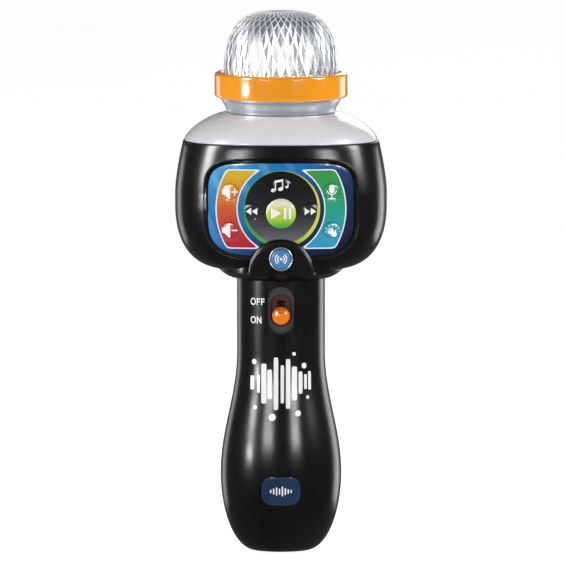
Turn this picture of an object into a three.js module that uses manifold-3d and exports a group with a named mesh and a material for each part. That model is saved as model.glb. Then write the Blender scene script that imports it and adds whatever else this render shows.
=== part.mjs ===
// Karaoke microphone for a child's hand: a light-up dome over a wide head with a key panel, on a slim handle
// with a slide switch and a battery bay. Millimetres, +Z up, the panel faces -Y, and the origin is the centre
// of the flat base.

import * as THREE from 'three';
import { mergeVertices } from 'three/addons/utils/BufferGeometryUtils.js';
import Module from 'manifold-3d';

const wasm = await Module();
wasm.setup();

// Fits
const clearance = 0.3; // between pieces that seat on, pass through or line up with each other
const seam = 0.3; // parting gap between the front and rear shells
const keyTravel = 0.8;
const switchTravel = 5;

// Handle
const handleLength = 126.2; // base to the top of the grip, where the neck flange sits
const handleWall = 2.2;
const baseRadius = 12;
const bulgeRadius = 27.9;
const bulgeHeight = 36;
const gripRadius = 20.3;
const gripStart = 92; // the grip is straight above this height
const floorThickness = 3;
const footRadius = 9; // the front shell carries the middle of the base in one piece
const spigotStep = 1.8; // the handle steps in by this where it enters the head
const spigotWall = 2.4;
const lipWidth = 2;
const lipHeight = 2;

// Neck flange
const flangeOverhang = 8.2; // beyond the grip
const flangeHeight = 4.7;
const flangeGap = 0.3;

// Head
const headWall = 2.4;
const headHalfWidth = 48.9;
const headHalfDepth = 38;
const headHeight = 58.6; // bottom opening to the seam under the shoulder
const beltRise = 29.4; // height of the widest level above the bottom of the head
const seamShrinkWidth = 3.7; // how much the head narrows from its belt to the seam
const seamShrinkDepth = 2;
const bottomInset = 1.5; // the bottom of the head is this much narrower than the neck flange
const bottomRise = 7; // its front is this far behind the belt's
const wallTurn = 2.3; // how squarely the sides rise out of the bottom: 2 is an ellipse
const faceTurn = 3.2; // the same for the front and rear

// Shoulder, collar, ring and dome
const shoulderHeight = 12.5;
const shoulderWall = 2;
const collarTopRadius = 27.7;
const collarFlare = 2.4; // the collar's foot is this much smaller
const collarHeight = 6.8; // visible height, shoulder to ring
const ringWall = 3; // outside the collar
const ringHeight = 11.5;
const ringLip = 1.5;
const domeInset = 0.9; // inside the collar's radius
const domeHeight = 28.2; // above the top of the ring
const domeWall = 1.6;

// Key panel
const panelHalfWidth = 33.6;
const panelHalfHeight = 21.5;
const panelThickness = 1.8;
const panelBow = 112; // radius of the panel's bowed face
const panelRise = 29.2; // centre of the panel above the bottom of the head
const panelRecess = 1.4; // panel face behind the belt's front
const rimWidth = 2.2;
const rimProud = 0.9; // rim above the panel face
const archRadius = 15.5; // boss round the pairing button, which covers the panel's lower edge
const archDrop = 29.1; // centre of that arch under the panel's centre
const keyRadius = 3.7;
const playRadius = 6.9;
const keyProud = 0.5;
const keyFlange = 1; // behind the panel, round each key
const sideKeyX = 23.4;
const sideKeyRise = 8.9;
const keyDrop = 0.6; // the key rows sit this much below the panel's centre
const innerKeyGap = 1; // between the flanges of the play key and of the keys beside it
const playKeyDrop = 1.6;
const pairingRadius = 4.6;
const pairingDrop = 22.5;
const boardStandOff = 7.3; // from the back of the panel to the key board
const boardThickness = 1.2;
const switchBodyDepth = 1.8;

// Power
const batteryRadius = 7.1;
const batteryLength = 50;
const doorHalfWidth = 14.5;
const doorLow = 13.3;
const doorHigh = 69;

// Facets
const handleSides = 24;
const headSides = 28;
const smallSides = 10;

// Levels worked out from the sizes above
const headBase = handleLength + flangeGap + flangeHeight + clearance;
const headTop = headBase + headHeight;
const shoulderBase = headTop + clearance;
const shoulderTop = shoulderBase + shoulderHeight;
const collarBase = shoulderTop + clearance;
const ringBase = collarBase + collarHeight;
const ringTop = ringBase + ringHeight;
const domeTop = ringTop + domeHeight;
const panelLevel = headBase + panelRise;
const panelFace = headHalfDepth - panelRecess;
const panelBack = panelFace - panelThickness;
const boardFront = panelBack - boardStandOff;
const keyLevel = panelLevel - keyDrop;
const innerKeyX = playRadius + keyRadius + 2 * keyFlange + innerKeyGap;
const modeKeyRise = playRadius + keyRadius + 2 * keyFlange + clearance - playKeyDrop;
const spigotRadius = gripRadius - spigotStep;
const flangeRadius = gripRadius + flangeOverhang;
const collarBaseRadius = collarTopRadius - collarFlare;
const ringRadius = collarTopRadius + ringWall;
const domeRadius = collarTopRadius - domeInset;
const archLevel = panelLevel - archDrop;
const pairingLevel = panelLevel - pairingDrop;
const highest = domeTop + 50;
const lowest = -50;
const far = 200; // beyond every surface, for the blocks and rods that cut

// ---------------------------------------------------------------- solids

// A closed solid from a geometry: shared points merged, pinched triangles dropped, faces turned outwards.
function toSolid(geometry) {
  const bare = geometry.index ? geometry.toNonIndexed() : geometry.clone();
  const points = new THREE.BufferGeometry().setAttribute('position', bare.getAttribute('position'));
  const merged = mergeVertices(points, 1e-4);
  const xyz = merged.attributes.position.array;
  const corner = (i) => new THREE.Vector3().fromArray(xyz, 3 * i);
  const triangles = [];
  let volume = 0;
  for (let i = 0; i < merged.index.count; i += 3) {
    const [a, b, c] = merged.index.array.slice(i, i + 3);
    if (a === b || b === c || c === a) continue;
    volume += corner(a).dot(corner(b).cross(corner(c)));
    triangles.push([a, b, c]);
  }
  const outward = volume < 0 ? triangles.map(([a, b, c]) => [a, c, b]) : triangles;
  const vertProperties = new Float32Array(xyz);
  const triVerts = new Uint32Array(outward.flat());
  return new wasm.Manifold(new wasm.Mesh({ numProp: 3, vertProperties, triVerts }));
}

function toGeometry(solid) {
  const mesh = solid.getMesh();
  const geometry = new THREE.BufferGeometry();
  geometry.setAttribute('position', new THREE.BufferAttribute(new Float32Array(mesh.vertProperties), 3));
  geometry.setIndex(new THREE.BufferAttribute(new Uint32Array(mesh.triVerts), 1));
  geometry.computeVertexNormals();
  return geometry;
}

const join = (...shapes) => toGeometry(shapes.map(toSolid).reduce((all, one) => all.add(one)));
const cut = (first, ...others) => {
  const rest = others.map(toSolid);
  return toGeometry(rest.reduce((all, one) => all.subtract(one), toSolid(first)));
};
const overlap = (...shapes) => toGeometry(shapes.map(toSolid).reduce((all, one) => all.intersect(one)));

function block(left, right, front, back, low, high) {
  const box = new THREE.BoxGeometry(right - left, back - front, high - low);
  return box.translate((left + right) / 2, (front + back) / 2, (low + high) / 2);
}

// A round rod along Y, and one along Z.
function rodY(radius, front, back, x, z, sides = smallSides) {
  return new THREE.CylinderGeometry(radius, radius, back - front, sides).translate(x, (front + back) / 2, z);
}

function rodZ(radius, low, high, x, y, sides = smallSides) {
  const rod = new THREE.CylinderGeometry(radius, radius, high - low, sides).rotateX(Math.PI / 2);
  return rod.translate(x, y, (low + high) / 2);
}

// A solid of revolution about Z from [radius, height] points.
function turned(profile, sides = handleSides) {
  const points = profile.map(([radius, height]) => new THREE.Vector2(radius, height));
  return toGeometry(toSolid(new THREE.LatheGeometry(points, sides).rotateX(Math.PI / 2)));
}

// The same about a line along Y at x, z, from [radius, y] points.
function turnedY(profile, x, z, sides = smallSides) {
  const points = profile.map(([radius, y]) => new THREE.Vector2(radius, y));
  return toGeometry(toSolid(new THREE.LatheGeometry(points, sides))).translate(x, 0, z);
}

// An outline drawn in the front view, pushed through from one depth to another.
function prismY(outline, front, back) {
  const depth = back - front;
  const solid = new THREE.ExtrudeGeometry(outline, { depth, bevelEnabled: false, curveSegments: 8 });
  return solid.rotateX(Math.PI / 2).translate(0, back, 0);
}

// A stack of rounded-square levels: half width w, half depth d, and n, which is 2 on an ellipse and more as
// the corners fill out.
function loft(levels, sides = headSides) {
  const stack = new THREE.CylinderGeometry(1, 1, 1, sides, levels.length - 1);
  const points = stack.attributes.position;
  const squared = (value, n) => Math.sign(value) * Math.abs(value) ** (2 / n);
  for (let i = 0; i < points.count; i += 1) {
    const { z, w, d, n } = levels[Math.round((points.getY(i) + 0.5) * (levels.length - 1))];
    points.setXYZ(i, w * squared(points.getX(i), n), d * squared(-points.getZ(i), n), z);
  }
  return stack;
}

function steps(from, to, count) {
  return Array.from({ length: count + 1 }, (_, i) => from + ((to - from) * i) / count);
}

const group = new THREE.Group();

function add(name, geometry, colour, roughness, metalness = 0) {
  const material = new THREE.MeshStandardMaterial({ color: colour, roughness, metalness });
  const mesh = new THREE.Mesh(geometry, material);
  mesh.name = name;
  group.add(mesh);
}

const black = '#0c0c0e';
const steel = '#b9bcc0';
const boardGreen = '#1f5a36';
const frontSide = block(-far, far, -far, -seam / 2, lowest, highest);
const rearSide = block(-far, far, seam / 2, far, lowest, highest);

// ---------------------------------------------------------------- handle

// Outline of the handle: a bowl from the base to the bulge, a smooth waist, then the straight grip.
function handleRadius(z) {
  if (z <= bulgeHeight) {
    const up = 1 - Math.max(z, 0) / bulgeHeight;
    return baseRadius + (bulgeRadius - baseRadius) * Math.sqrt(1 - up * up);
  }
  const waist = Math.min((z - bulgeHeight) / (gripStart - bulgeHeight), 1);
  return gripRadius + (bulgeRadius - gripRadius) * (0.5 + 0.5 * Math.cos(Math.PI * waist));
}

const round = (z, radius) => ({ z, w: radius, d: radius, n: 2 });
const bowlHeights = [0, 0.06, 0.2, 0.48].map((share) => share * bulgeHeight);
const outlineHeights = [...bowlHeights, ...steps(bulgeHeight, gripStart, 4), handleLength];
const lipLow = headBase + headWall + clearance;
const lipHigh = lipLow + lipHeight;

// The handle's skin moved in or out by a distance, between two heights.
function handleSkin(offset, low, high) {
  const between = outlineHeights.filter((z) => z > low && z < high);
  return loft([low, ...between, high].map((z) => round(z, handleRadius(z) + offset)), handleSides);
}

const handleOuter = loft(
  [
    ...outlineHeights.map((z) => round(z, handleRadius(z))),
    round(handleLength, spigotRadius),
    round(lipLow, spigotRadius),
    round(lipLow, spigotRadius + lipWidth),
    round(lipHigh, spigotRadius + lipWidth),
  ],
  handleSides,
);
const handleHollow = handleSkin(-handleWall, floorThickness, handleLength - handleWall);
const spigotBase = handleLength - 2 * handleWall;
const spigotBore = rodZ(spigotRadius - spigotWall, spigotBase, lipHigh + 1, 0, 0, handleSides);
const handleTube = cut(handleOuter, handleHollow, spigotBore);

// Slide switch: an outer recess, a deeper slot that the knob runs in, and a slit for its stem.
const knobRadius = 4.2;
const knobDrop = 16; // knob centre under the top of the grip, with the knob at the lower end of its slot
const knobLevel = handleLength - knobDrop;
const slotLevel = knobLevel + switchTravel / 2;
const slotPlay = 0.6; // round the knob
const slotHalfWidth = knobRadius + slotPlay;
const slotHalfHeight = switchTravel / 2 + slotHalfWidth;
const recessBorder = 1.3;
const recessExtra = 3.6; // the recess is taller than its slot by this at each end
const recessDepth = 2;
const slotDepth = 1.7; // below the recess
const pocketWall = 1.6;
const recessFloor = gripRadius - recessDepth;
const slotFloor = recessFloor - slotDepth;
const slotBack = slotFloor - pocketWall;
const stemHalf = 1.5;

function stadium(halfWidth, halfHeight, level) {
  const outline = new THREE.Shape();
  const straight = halfHeight - halfWidth;
  outline.absarc(0, level + straight, halfWidth, 0, Math.PI, false);
  outline.absarc(0, level - straight, halfWidth, Math.PI, 2 * Math.PI, false);
  outline.closePath();
  return outline;
}

const recessHalfWidth = slotHalfWidth + recessBorder;
const recessHalfHeight = slotHalfHeight + recessExtra;
const pocketHalfHeight = recessHalfHeight + 1.4;
const pocketHalfWidth = recessHalfWidth + pocketWall;
const pocketTop = Math.min(slotLevel + pocketHalfHeight, handleLength - 0.4);
const pocketBlock = overlap(
  block(-pocketHalfWidth, pocketHalfWidth, -gripRadius, -slotBack, slotLevel - pocketHalfHeight, pocketTop),
  handleSkin(-0.05, slotLevel - 2 * pocketHalfHeight, handleLength),
);
const recess = prismY(stadium(recessHalfWidth, recessHalfHeight, slotLevel), -far, -recessFloor);
const slot = prismY(stadium(slotHalfWidth, slotHalfHeight, slotLevel), -far, -slotFloor);
const slitHalfHeight = switchTravel / 2 + stemHalf + clearance;
const slitHalfWidth = stemHalf + clearance;
const slitLow = slotLevel - slitHalfHeight;
const slitHigh = slotLevel + slitHalfHeight;
const slit = block(-slitHalfWidth, slitHalfWidth, -far, -slotBack + 1, slitLow, slitHigh);

// Badge on the front of the bulge, sunk into a shallow pocket.
const badgeLevel = 29.6;
const badgeHalfWidth = 9;
const badgeHalfHeight = 6.7;
const badgeThickness = 0.8;
const badgeProud = 0.25;
const badgeTurn = 3.4; // squareness of its outline
const badgeMargin = 2; // of skin above and below it

function badgeOutline(grow) {
  const outline = new THREE.Shape();
  const points = steps(0, 2 * Math.PI, 20).slice(0, -1).map((turn) => {
    const side = (value) => Math.sign(value) * Math.abs(value) ** (2 / badgeTurn);
    const x = (badgeHalfWidth + grow) * side(Math.cos(turn));
    return new THREE.Vector2(x, badgeLevel + (badgeHalfHeight + grow) * side(Math.sin(turn)));
  });
  return outline.setFromPoints(points);
}

const badgeLow = badgeLevel - badgeHalfHeight - badgeMargin;
const badgeHigh = badgeLevel + badgeHalfHeight + badgeMargin;
const badgeFloor = badgeProud - badgeThickness;
const badgeShell = cut(
  handleSkin(badgeProud, badgeLow, badgeHigh),
  handleSkin(badgeFloor, badgeLow - 1, badgeHigh + 1),
);
const badgePocket = cut(
  overlap(handleSkin(badgeMargin, badgeLow, badgeHigh), prismY(badgeOutline(clearance), -far, 0)),
  handleSkin(badgeFloor - clearance, badgeLow - 1, badgeHigh + 1),
);

// Two screws from the rear hold the handle shells together, in posts that meet at the parting plane.
const screw = {
  shank: 1.3, // radii
  head: 2.7,
  bore: 1.6,
  sink: 3,
  post: 4.2,
  engage: 10, // lengths
  headHeight: 1.8,
  headBevel: 0.5,
};
const handleScrewRises = [8, 27]; // above the battery door
const handleScrews = handleScrewRises.map((rise) => doorHigh + rise);
const headScrewX = panelHalfWidth + rimWidth + 1.2;
const headScrews = [[-1, -1], [1, -1], [-1, 1], [1, 1]];
const headScrewRise = 14;

function screwSolid(x, z, seat) {
  const profile = [
    [0, -screw.engage],
    [screw.shank, -screw.engage],
    [screw.shank, seat],
    [screw.head, seat],
    [screw.head, seat + screw.headHeight - screw.headBevel],
    [screw.head - screw.headBevel, seat + screw.headHeight],
    [0, seat + screw.headHeight],
  ];
  return turnedY(profile, x, z, 12);
}

// Screw posts reach from the parting plane to just under the skin of the shell that carries them.
const frontPost = (x, z, skin) => overlap(rodY(screw.post - 0.8, -far, -seam / 2, x, z), skin);
const rearPost = (x, z, skin) => overlap(rodY(screw.post, seam / 2, far, x, z), skin);
const screwBore = (x, z) => rodY(screw.bore, -screw.engage - 1, far, x, z);
const screwSink = (x, z, seat) => rodY(screw.sink, seat - clearance, far, x, z);
const handleSeat = 9;
const handleCore = handleSkin(-handleWall / 2, doorHigh, handleLength - 2);

const handleFront = overlap(
  join(handleTube, pocketBlock),
  join(frontSide, rodZ(footRadius, -1, floorThickness, 0, 0, handleSides)),
);
add(
  'handle_front_shell',
  cut(
    join(handleFront, ...handleScrews.map((z) => frontPost(0, z, handleCore))),
    recess,
    slot,
    slit,
    badgePocket,
    ...handleScrews.map((z) => screwBore(0, z)),
  ),
  black, 0.18,
);

// Battery door: a window in the rear shell, and the piece of skin that fills it.
const doorCorner = 4;

function doorOutline(grow) {
  const outline = new THREE.Shape();
  const side = doorHalfWidth + grow;
  const low = doorLow - grow;
  const high = doorHigh + grow;
  outline.moveTo(-side, low);
  outline.lineTo(side, low);
  outline.lineTo(side, high - doorCorner);
  outline.absarc(side - doorCorner, high - doorCorner, doorCorner, 0, Math.PI / 2, false);
  outline.absarc(-side + doorCorner, high - doorCorner, doorCorner, Math.PI / 2, Math.PI, false);
  outline.closePath();
  return outline;
}

const doorWindow = prismY(doorOutline(clearance), handleWall, far);
add(
  'handle_rear_shell',
  cut(
    join(overlap(handleTube, rearSide), ...handleScrews.map((z) => rearPost(0, z, handleCore))),
    rodZ(footRadius + clearance, -1, floorThickness + 1, 0, 0, handleSides),
    doorWindow,
    ...handleScrews.map((z) => screwBore(0, z)),
    ...handleScrews.map((z) => screwSink(0, z, handleSeat)),
  ),
  black, 0.18,
);
handleScrews.forEach((z, i) => add(`handle_screw_${i + 1}`, screwSolid(0, z, handleSeat), steel, 0.35, 1));

const doorScrewDrop = 5.5;
const doorScrewSink = 1.9;
const doorScrewHead = 1.1;
const doorPadUnder = 2.4;
const doorScrewLevel = doorHigh - doorScrewDrop;
const doorScrewSeat = handleRadius(doorScrewLevel) - doorScrewSink;
const doorPadBack = doorScrewSeat - doorPadUnder;
const doorPad = rodY(screw.post, doorPadBack, doorScrewSeat + 1.2, 0, doorScrewLevel);
// Two tabs hook behind the shell under the window. The door tips outwards about its lower edge.
const tabX = 7;
const tabHalf = 2;
const tabDepth = 1.6;
const tabDrop = 3.4;
const shellInside = handleRadius(doorLow - tabDrop) - handleWall - 2 * clearance;
const tabOuter = Math.sqrt(shellInside ** 2 - (tabX + tabHalf) ** 2) - clearance;
const tabRoot = 2; // up inside the door
const tabFloor = 0.4; // of the part that joins the tab to the skin, above the door's lower edge
const tabInner = tabOuter - tabDepth;
const tabSkin = handleRadius(doorLow) - handleWall - 0.4;
const tabs = [-tabX, tabX].map((x) =>
  join(
    block(x - tabHalf, x + tabHalf, tabInner, tabOuter, doorLow - tabDrop, doorLow + tabRoot),
    block(x - tabHalf, x + tabHalf, tabInner, tabSkin, doorLow + tabFloor, doorLow + tabRoot),
  ),
);
const doorSkin = overlap(
  cut(handleSkin(0, doorLow - 4, doorHigh + 4), handleSkin(-handleWall, doorLow - 5, doorHigh + 5)),
  prismY(doorOutline(0), handleWall, far),
);
add(
  'battery_door',
  cut(
    join(doorSkin, doorPad, ...tabs),
    rodY(screw.bore, 0, far, 0, doorScrewLevel),
    rodY(screw.sink, doorScrewSeat - clearance, far, 0, doorScrewLevel),
  ),
  black, 0.3,
);
const doorScrewLength = 7;
add(
  'battery_door_screw',
  turnedY(
    [
      [0, doorScrewSeat - doorScrewLength],
      [screw.shank, doorScrewSeat - doorScrewLength],
      [screw.shank, doorScrewSeat],
      [screw.head, doorScrewSeat],
      [screw.head, doorScrewSeat + doorScrewHead],
      [0, doorScrewSeat + doorScrewHead],
    ],
    0, doorScrewLevel, 12,
  ),
  steel, 0.35, 1,
);

// Three cells stand in a tray: two side by side behind the door and one in front.
const cellGap = 0.6;
const cellSpread = (2 * batteryRadius + cellGap) / Math.sqrt(3);
const thirds = [90, 210, 330];
const cells = thirds.map((angle) => {
  const turn = THREE.MathUtils.degToRad(-angle);
  return [cellSpread * Math.cos(turn), cellSpread * Math.sin(turn)];
});
const contactThickness = 0.4;
const trayWall = 1.6;
const trayRise = 5; // above the floor of the handle
const trayBase = floorThickness + trayRise;
const cellBase = trayBase + trayWall + contactThickness + 2 * clearance;
const cellTop = cellBase + batteryLength;
const trayTop = cellTop + contactThickness + 2 * clearance;
const trayRadius = cellSpread + batteryRadius;
const trayEnds = [trayBase, trayTop].map((z) => rodZ(trayRadius, z, z + trayWall, 0, 0, 16));
const trayPostRadius = 2.6;
const trayPostSpread = trayRadius - trayPostRadius + 0.2;
const trayPosts = thirds.map((angle) => {
  const turn = THREE.MathUtils.degToRad(angle);
  const [x, y] = [trayPostSpread * Math.cos(turn), trayPostSpread * Math.sin(turn)];
  return rodZ(trayPostRadius, trayBase, trayTop + trayWall, x, y, 8);
});
const strutHalf = 4;
const strutTop = doorScrewLevel + strutHalf;
const strut = block(-strutHalf, strutHalf, trayRadius - 7, trayRadius - 0.5, trayTop, strutTop);
const screwBlock = block(
  -strutHalf, strutHalf, trayRadius - strutHalf, doorPadBack - clearance, doorScrewLevel - strutHalf, strutTop,
);
add(
  'battery_tray',
  cut(
    join(...trayEnds, ...trayPosts, strut, screwBlock),
    ...cells.map(([x, y]) => rodZ(batteryRadius + 2 * clearance, trayBase + trayWall, trayTop, x, y, 12)),
    rodY(screw.shank + 3 * clearance, 0, far, 0, doorScrewLevel),
  ),
  '#1b1b1d', 0.5,
);
const cellNub = { radius: 2.7, height: 1.4, slope: 0.6 };
cells.forEach(([x, y], i) => {
  const profile = [
    [0, cellBase],
    [batteryRadius, cellBase],
    [batteryRadius, cellTop - cellNub.height - cellNub.slope],
    [cellNub.radius, cellTop - cellNub.height],
    [cellNub.radius, cellTop],
    [0, cellTop],
  ];
  add(`battery_${i + 1}`, turned(profile, 14).translate(x, y, 0), '#c07a2c', 0.35, 0.4);
});
const plateRadius = trayPostSpread - trayPostRadius - clearance;
const plate = (low, high) => rodZ(plateRadius, low, high, 0, 0, 16);
add('battery_contact_lower', plate(trayBase + trayWall + clearance, cellBase - clearance), steel, 0.3, 1);
add('battery_contact_upper', plate(cellTop + clearance, trayTop - clearance), steel, 0.3, 1);

add(
  'badge',
  overlap(badgeShell, prismY(badgeOutline(0), -far, 0)),
  '#1e3a5f', 0.25,
);

// Switch knob: a ball cut flat at its back, with a stem that reaches into the switch.
const knobSink = 1.1; // centre of the ball behind the skin of the grip
const knobCentre = gripRadius - knobSink;
const ballBack = slotFloor + clearance;
const canDepth = 5;
const canFront = slotBack - clearance;
const ball = new THREE.SphereGeometry(knobRadius, 16, 8).translate(0, -knobCentre, knobLevel);
const stemReach = 2; // into the switch
const stem = block(
  -stemHalf, stemHalf, -ballBack - 0.5, -canFront + stemReach, knobLevel - stemHalf, knobLevel + stemHalf,
);
add('switch_knob', join(cut(ball, block(-far, far, -ballBack, far, 0, highest)), stem), '#f0821e', 0.2);
const canHalfWidth = 4.5;
const canHalfHeight = 8;
add(
  'switch_body',
  cut(
    block(
      -canHalfWidth, canHalfWidth, -canFront, -canFront + canDepth,
      slotLevel - canHalfHeight, slotLevel + canHalfHeight,
    ),
    block(
      -slitHalfWidth, slitHalfWidth, -canFront - 1, -canFront + stemReach + clearance,
      slitLow, slitHigh,
    ),
  ),
  steel, 0.35, 1,
);

// ---------------------------------------------------------------- neck and head

add(
  'neck_flange',
  turned([
    [spigotRadius + clearance, handleLength + flangeGap],
    [gripRadius + 0.8, handleLength + flangeGap],
    [gripRadius + 4.3, handleLength + flangeGap + 1.2],
    [flangeRadius - 1, handleLength + flangeGap + 3.1],
    [flangeRadius, headBase - clearance - 0.5],
    [flangeRadius - 0.3, headBase - clearance],
    [spigotRadius + clearance, headBase - clearance],
    [spigotRadius + clearance, handleLength + flangeGap],
  ]),
  black, 0.2,
);

// A rise from a start to an end as a rounded quarter: sharpness 2 is an ellipse.
const quarter = (share, sharpness) => (1 - (1 - share) ** sharpness) ** (1 / sharpness);

const bottomWidth = flangeRadius - bottomInset;
const bottomDepth = headHalfDepth - bottomRise;
const shrinkStart = beltRise + 6; // height above the bottom where the head starts to narrow towards the seam
const shrinkPower = 1.45;
const squareness = { bottom: 2.1, gain: 0.7, gainPower: 0.4, loss: 0.25 };

// The head's level at a height: half width, half depth and squareness.
function headLevel(z, inset = 0) {
  const up = Math.min(Math.max((z - headBase) / beltRise, 0), 1);
  const over = Math.max((z - headBase - shrinkStart) / (headHeight - shrinkStart), 0);
  const shrink = over ** shrinkPower;
  const width = bottomWidth + (headHalfWidth - bottomWidth) * quarter(up, wallTurn) - seamShrinkWidth * shrink;
  const depth = bottomDepth + (headHalfDepth - bottomDepth) * quarter(up, faceTurn) - seamShrinkDepth * shrink;
  const n = squareness.bottom + squareness.gain * up ** squareness.gainPower - squareness.loss * over;
  return { z, w: width - inset, d: depth - inset, n };
}

const bowlShares = [0.02, 0.09, 0.2, 0.45];
const bowlLevels = bowlShares.map((share) => headBase + share * beltRise);
const wallLevels = steps(headBase + beltRise, headTop, 2);
const headOuter = loft([headBase, ...bowlLevels, ...wallLevels].map((z) => headLevel(z)));
const headFloor = headBase + headWall;
const innerLevels = [...bowlLevels, ...wallLevels].filter((z) => z > headFloor + 0.5);
const headHollow = loft([
  headLevel(headFloor, headWall + 1),
  ...innerLevels.map((z) => headLevel(z, headWall)),
  { ...headLevel(headTop, headWall), z: headTop + 1 },
]);
const neckHole = rodZ(spigotRadius + clearance, headBase - 1, headFloor + 1, 0, 0, handleSides);
const headSkin = cut(headOuter, headHollow, neckHole);

// Panel outline: flat above, fuller below. The panel and its rim share a gentle bow from side to side.
const panelTurnHigh = 5.4;
const panelTurnLow = 3.7;

function panelOutline(grow) {
  const points = steps(0, 2 * Math.PI, 24).slice(0, -1).map((turn) => {
    const n = Math.sin(turn) > 0 ? panelTurnHigh : panelTurnLow;
    const side = (value) => Math.sign(value) * Math.abs(value) ** (2 / n);
    const x = (panelHalfWidth + grow) * side(Math.cos(turn));
    return new THREE.Vector2(x, panelLevel + (panelHalfHeight + grow) * side(Math.sin(turn)));
  });
  return new THREE.Shape().setFromPoints(points);
}

const bow = (x) => (x * x) / (2 * panelBow);

// A wall that follows the bow, between two depths in front of the centre plane.
function bowed(front, back) {
  const reach = panelHalfWidth + rimWidth + 3;
  const across = steps(-reach, reach, 6);
  const points = [
    ...across.map((x) => new THREE.Vector2(x, bow(x) - front)),
    ...across.reverse().map((x) => new THREE.Vector2(x, bow(x) - back)),
  ];
  const high = panelLevel + panelHalfHeight + 8;
  const low = archLevel - 8;
  const wall = new THREE.ExtrudeGeometry(new THREE.Shape().setFromPoints(points), {
    depth: high - low,
    bevelEnabled: false,
  });
  return wall.translate(0, 0, low);
}

const reachFront = headHalfDepth + 12;
const rimFace = panelFace + rimProud;
const rimDepth = 2.5; // behind the panel
const ledgeWidth = 1.5;
const ledgeDepth = 2;
const ledgeRoot = 0.5; // into the rim
const ledgeFace = panelBack - clearance;
const windowCut = prismY(panelOutline(clearance), -reachFront, -headHalfDepth / 2);
const rimSolid = cut(
  overlap(prismY(panelOutline(rimWidth), -reachFront, 0), bowed(rimFace, ledgeFace - rimDepth)),
  windowCut,
);
const ledge = cut(
  overlap(
    prismY(panelOutline(clearance + ledgeRoot), -reachFront, 0),
    bowed(ledgeFace, ledgeFace - ledgeDepth),
  ),
  prismY(panelOutline(-ledgeWidth), -reachFront, 0),
);

// Arched boss round the pairing button. It stands in front of the panel's lower edge.
const bossDepth = 8;
const bossFace = headHalfDepth;
const bossBack = headHalfDepth - bossDepth;
const bossDip = 0.6; // below the bottom of the head
const bezelWidth = 0.9;
const pairingRingRadius = pairingRadius + bezelWidth;
const pairingHole = pairingRingRadius + clearance;
const boss = cut(
  rodY(archRadius, -bossFace, -bossBack, 0, archLevel, 24),
  block(-far, far, -far, 0, 0, headBase - bossDip),
  rodZ(flangeRadius + clearance, 0, headBase, 0, 0, handleSides),
);
const archRoom = rodY(archRadius + clearance, -reachFront, 0, 0, archLevel, 24);
const frontHalf = cut(overlap(headSkin, frontSide), windowCut);
const headCore = loft([...bowlLevels, ...wallLevels].map((z) => headLevel(z, headWall / 2)));
const headPosts = headScrews.map(([side, up]) => [side * headScrewX, panelLevel + up * headScrewRise]);
const bossLand = rodY(archRadius, -reachFront, 0, 0, archLevel, 24);
add(
  'head_front_shell',
  cut(
    join(
      frontHalf,
      cut(rimSolid, bossLand),
      cut(ledge, archRoom),
      boss,
      ...headPosts.map(([x, z]) => frontPost(x, z, headCore)),
    ),
    rodY(pairingHole, -reachFront, -bossBack + 0.1, 0, pairingLevel, 20),
    ...headPosts.map(([x, z]) => screwBore(x, z)),
  ),
  black, 0.15,
);

// Speaker, facing the rear through slots in the rear shell.
const speakerRadius = 20;
const speakerInset = 3.4; // front of the speaker behind the rear wall
const speakerFace = headHalfDepth - headWall - speakerInset;
const grilleRadius = 16.5;
const grilleSlotHalf = 0.9;
const slotPitch = 4.4;
const grilleSlots = steps(-3, 3, 6).map((row) => {
  const rise = row * slotPitch;
  const half = Math.sqrt(grilleRadius ** 2 - rise ** 2);
  const level = panelLevel + rise;
  return block(-half, half, headHalfDepth / 2, far, level - grilleSlotHalf, level + grilleSlotHalf);
});
const cupWall = 2.2;
const cupDepth = 6;
const cupRoot = 4.2; // into the rear wall
const speakerCup = cut(
  rodY(speakerRadius + cupWall, speakerFace - cupDepth, speakerFace + cupRoot, 0, panelLevel, 20),
  rodY(speakerRadius + clearance, 0, far, 0, panelLevel, 20),
);
const headSeat = 12;
add(
  'head_rear_shell',
  cut(
    join(
      overlap(headSkin, rearSide),
      speakerCup,
      ...headPosts.map(([x, z]) => rearPost(x, z, headCore)),
    ),
    ...grilleSlots,
    ...headPosts.map(([x, z]) => screwBore(x, z)),
    ...headPosts.map(([x, z]) => screwSink(x, z, headSeat)),
  ),
  black, 0.2,
);
headPosts.forEach(([x, z], i) => add(`head_screw_${i + 1}`, screwSolid(x, z, headSeat), steel, 0.35, 1));

const basketDepth = 11;
const basketWall = 1.2;
const basketRim = 2.4;
const basketTaper = 6;
const basketHole = 4.6;
const basketBack = speakerFace - basketDepth;
add(
  'speaker_frame',
  turnedY(
    [
      [speakerRadius, speakerFace],
      [speakerRadius, speakerFace - 1.5],
      [speakerRadius - basketTaper, basketBack],
      [basketHole, basketBack],
      [basketHole, basketBack + basketWall],
      [speakerRadius - basketTaper - 0.8, basketBack + basketWall],
      [speakerRadius - basketRim, speakerFace - basketWall],
      [speakerRadius - basketRim, speakerFace],
      [speakerRadius, speakerFace],
    ],
    0, panelLevel, 20,
  ),
  '#6a6d70', 0.4, 0.9,
);
const magnetRadius = 11;
const magnetDepth = 7;
const magnetFace = basketBack - clearance;
const magnet = rodY(magnetRadius, magnetFace - magnetDepth, magnetFace, 0, panelLevel, 16);
add('speaker_magnet', magnet, '#3a3a3c', 0.6, 0.5);
const coneEdge = speakerRadius - basketRim - clearance;
const coneRoll = 2;
const capRadius = 5;
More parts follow.
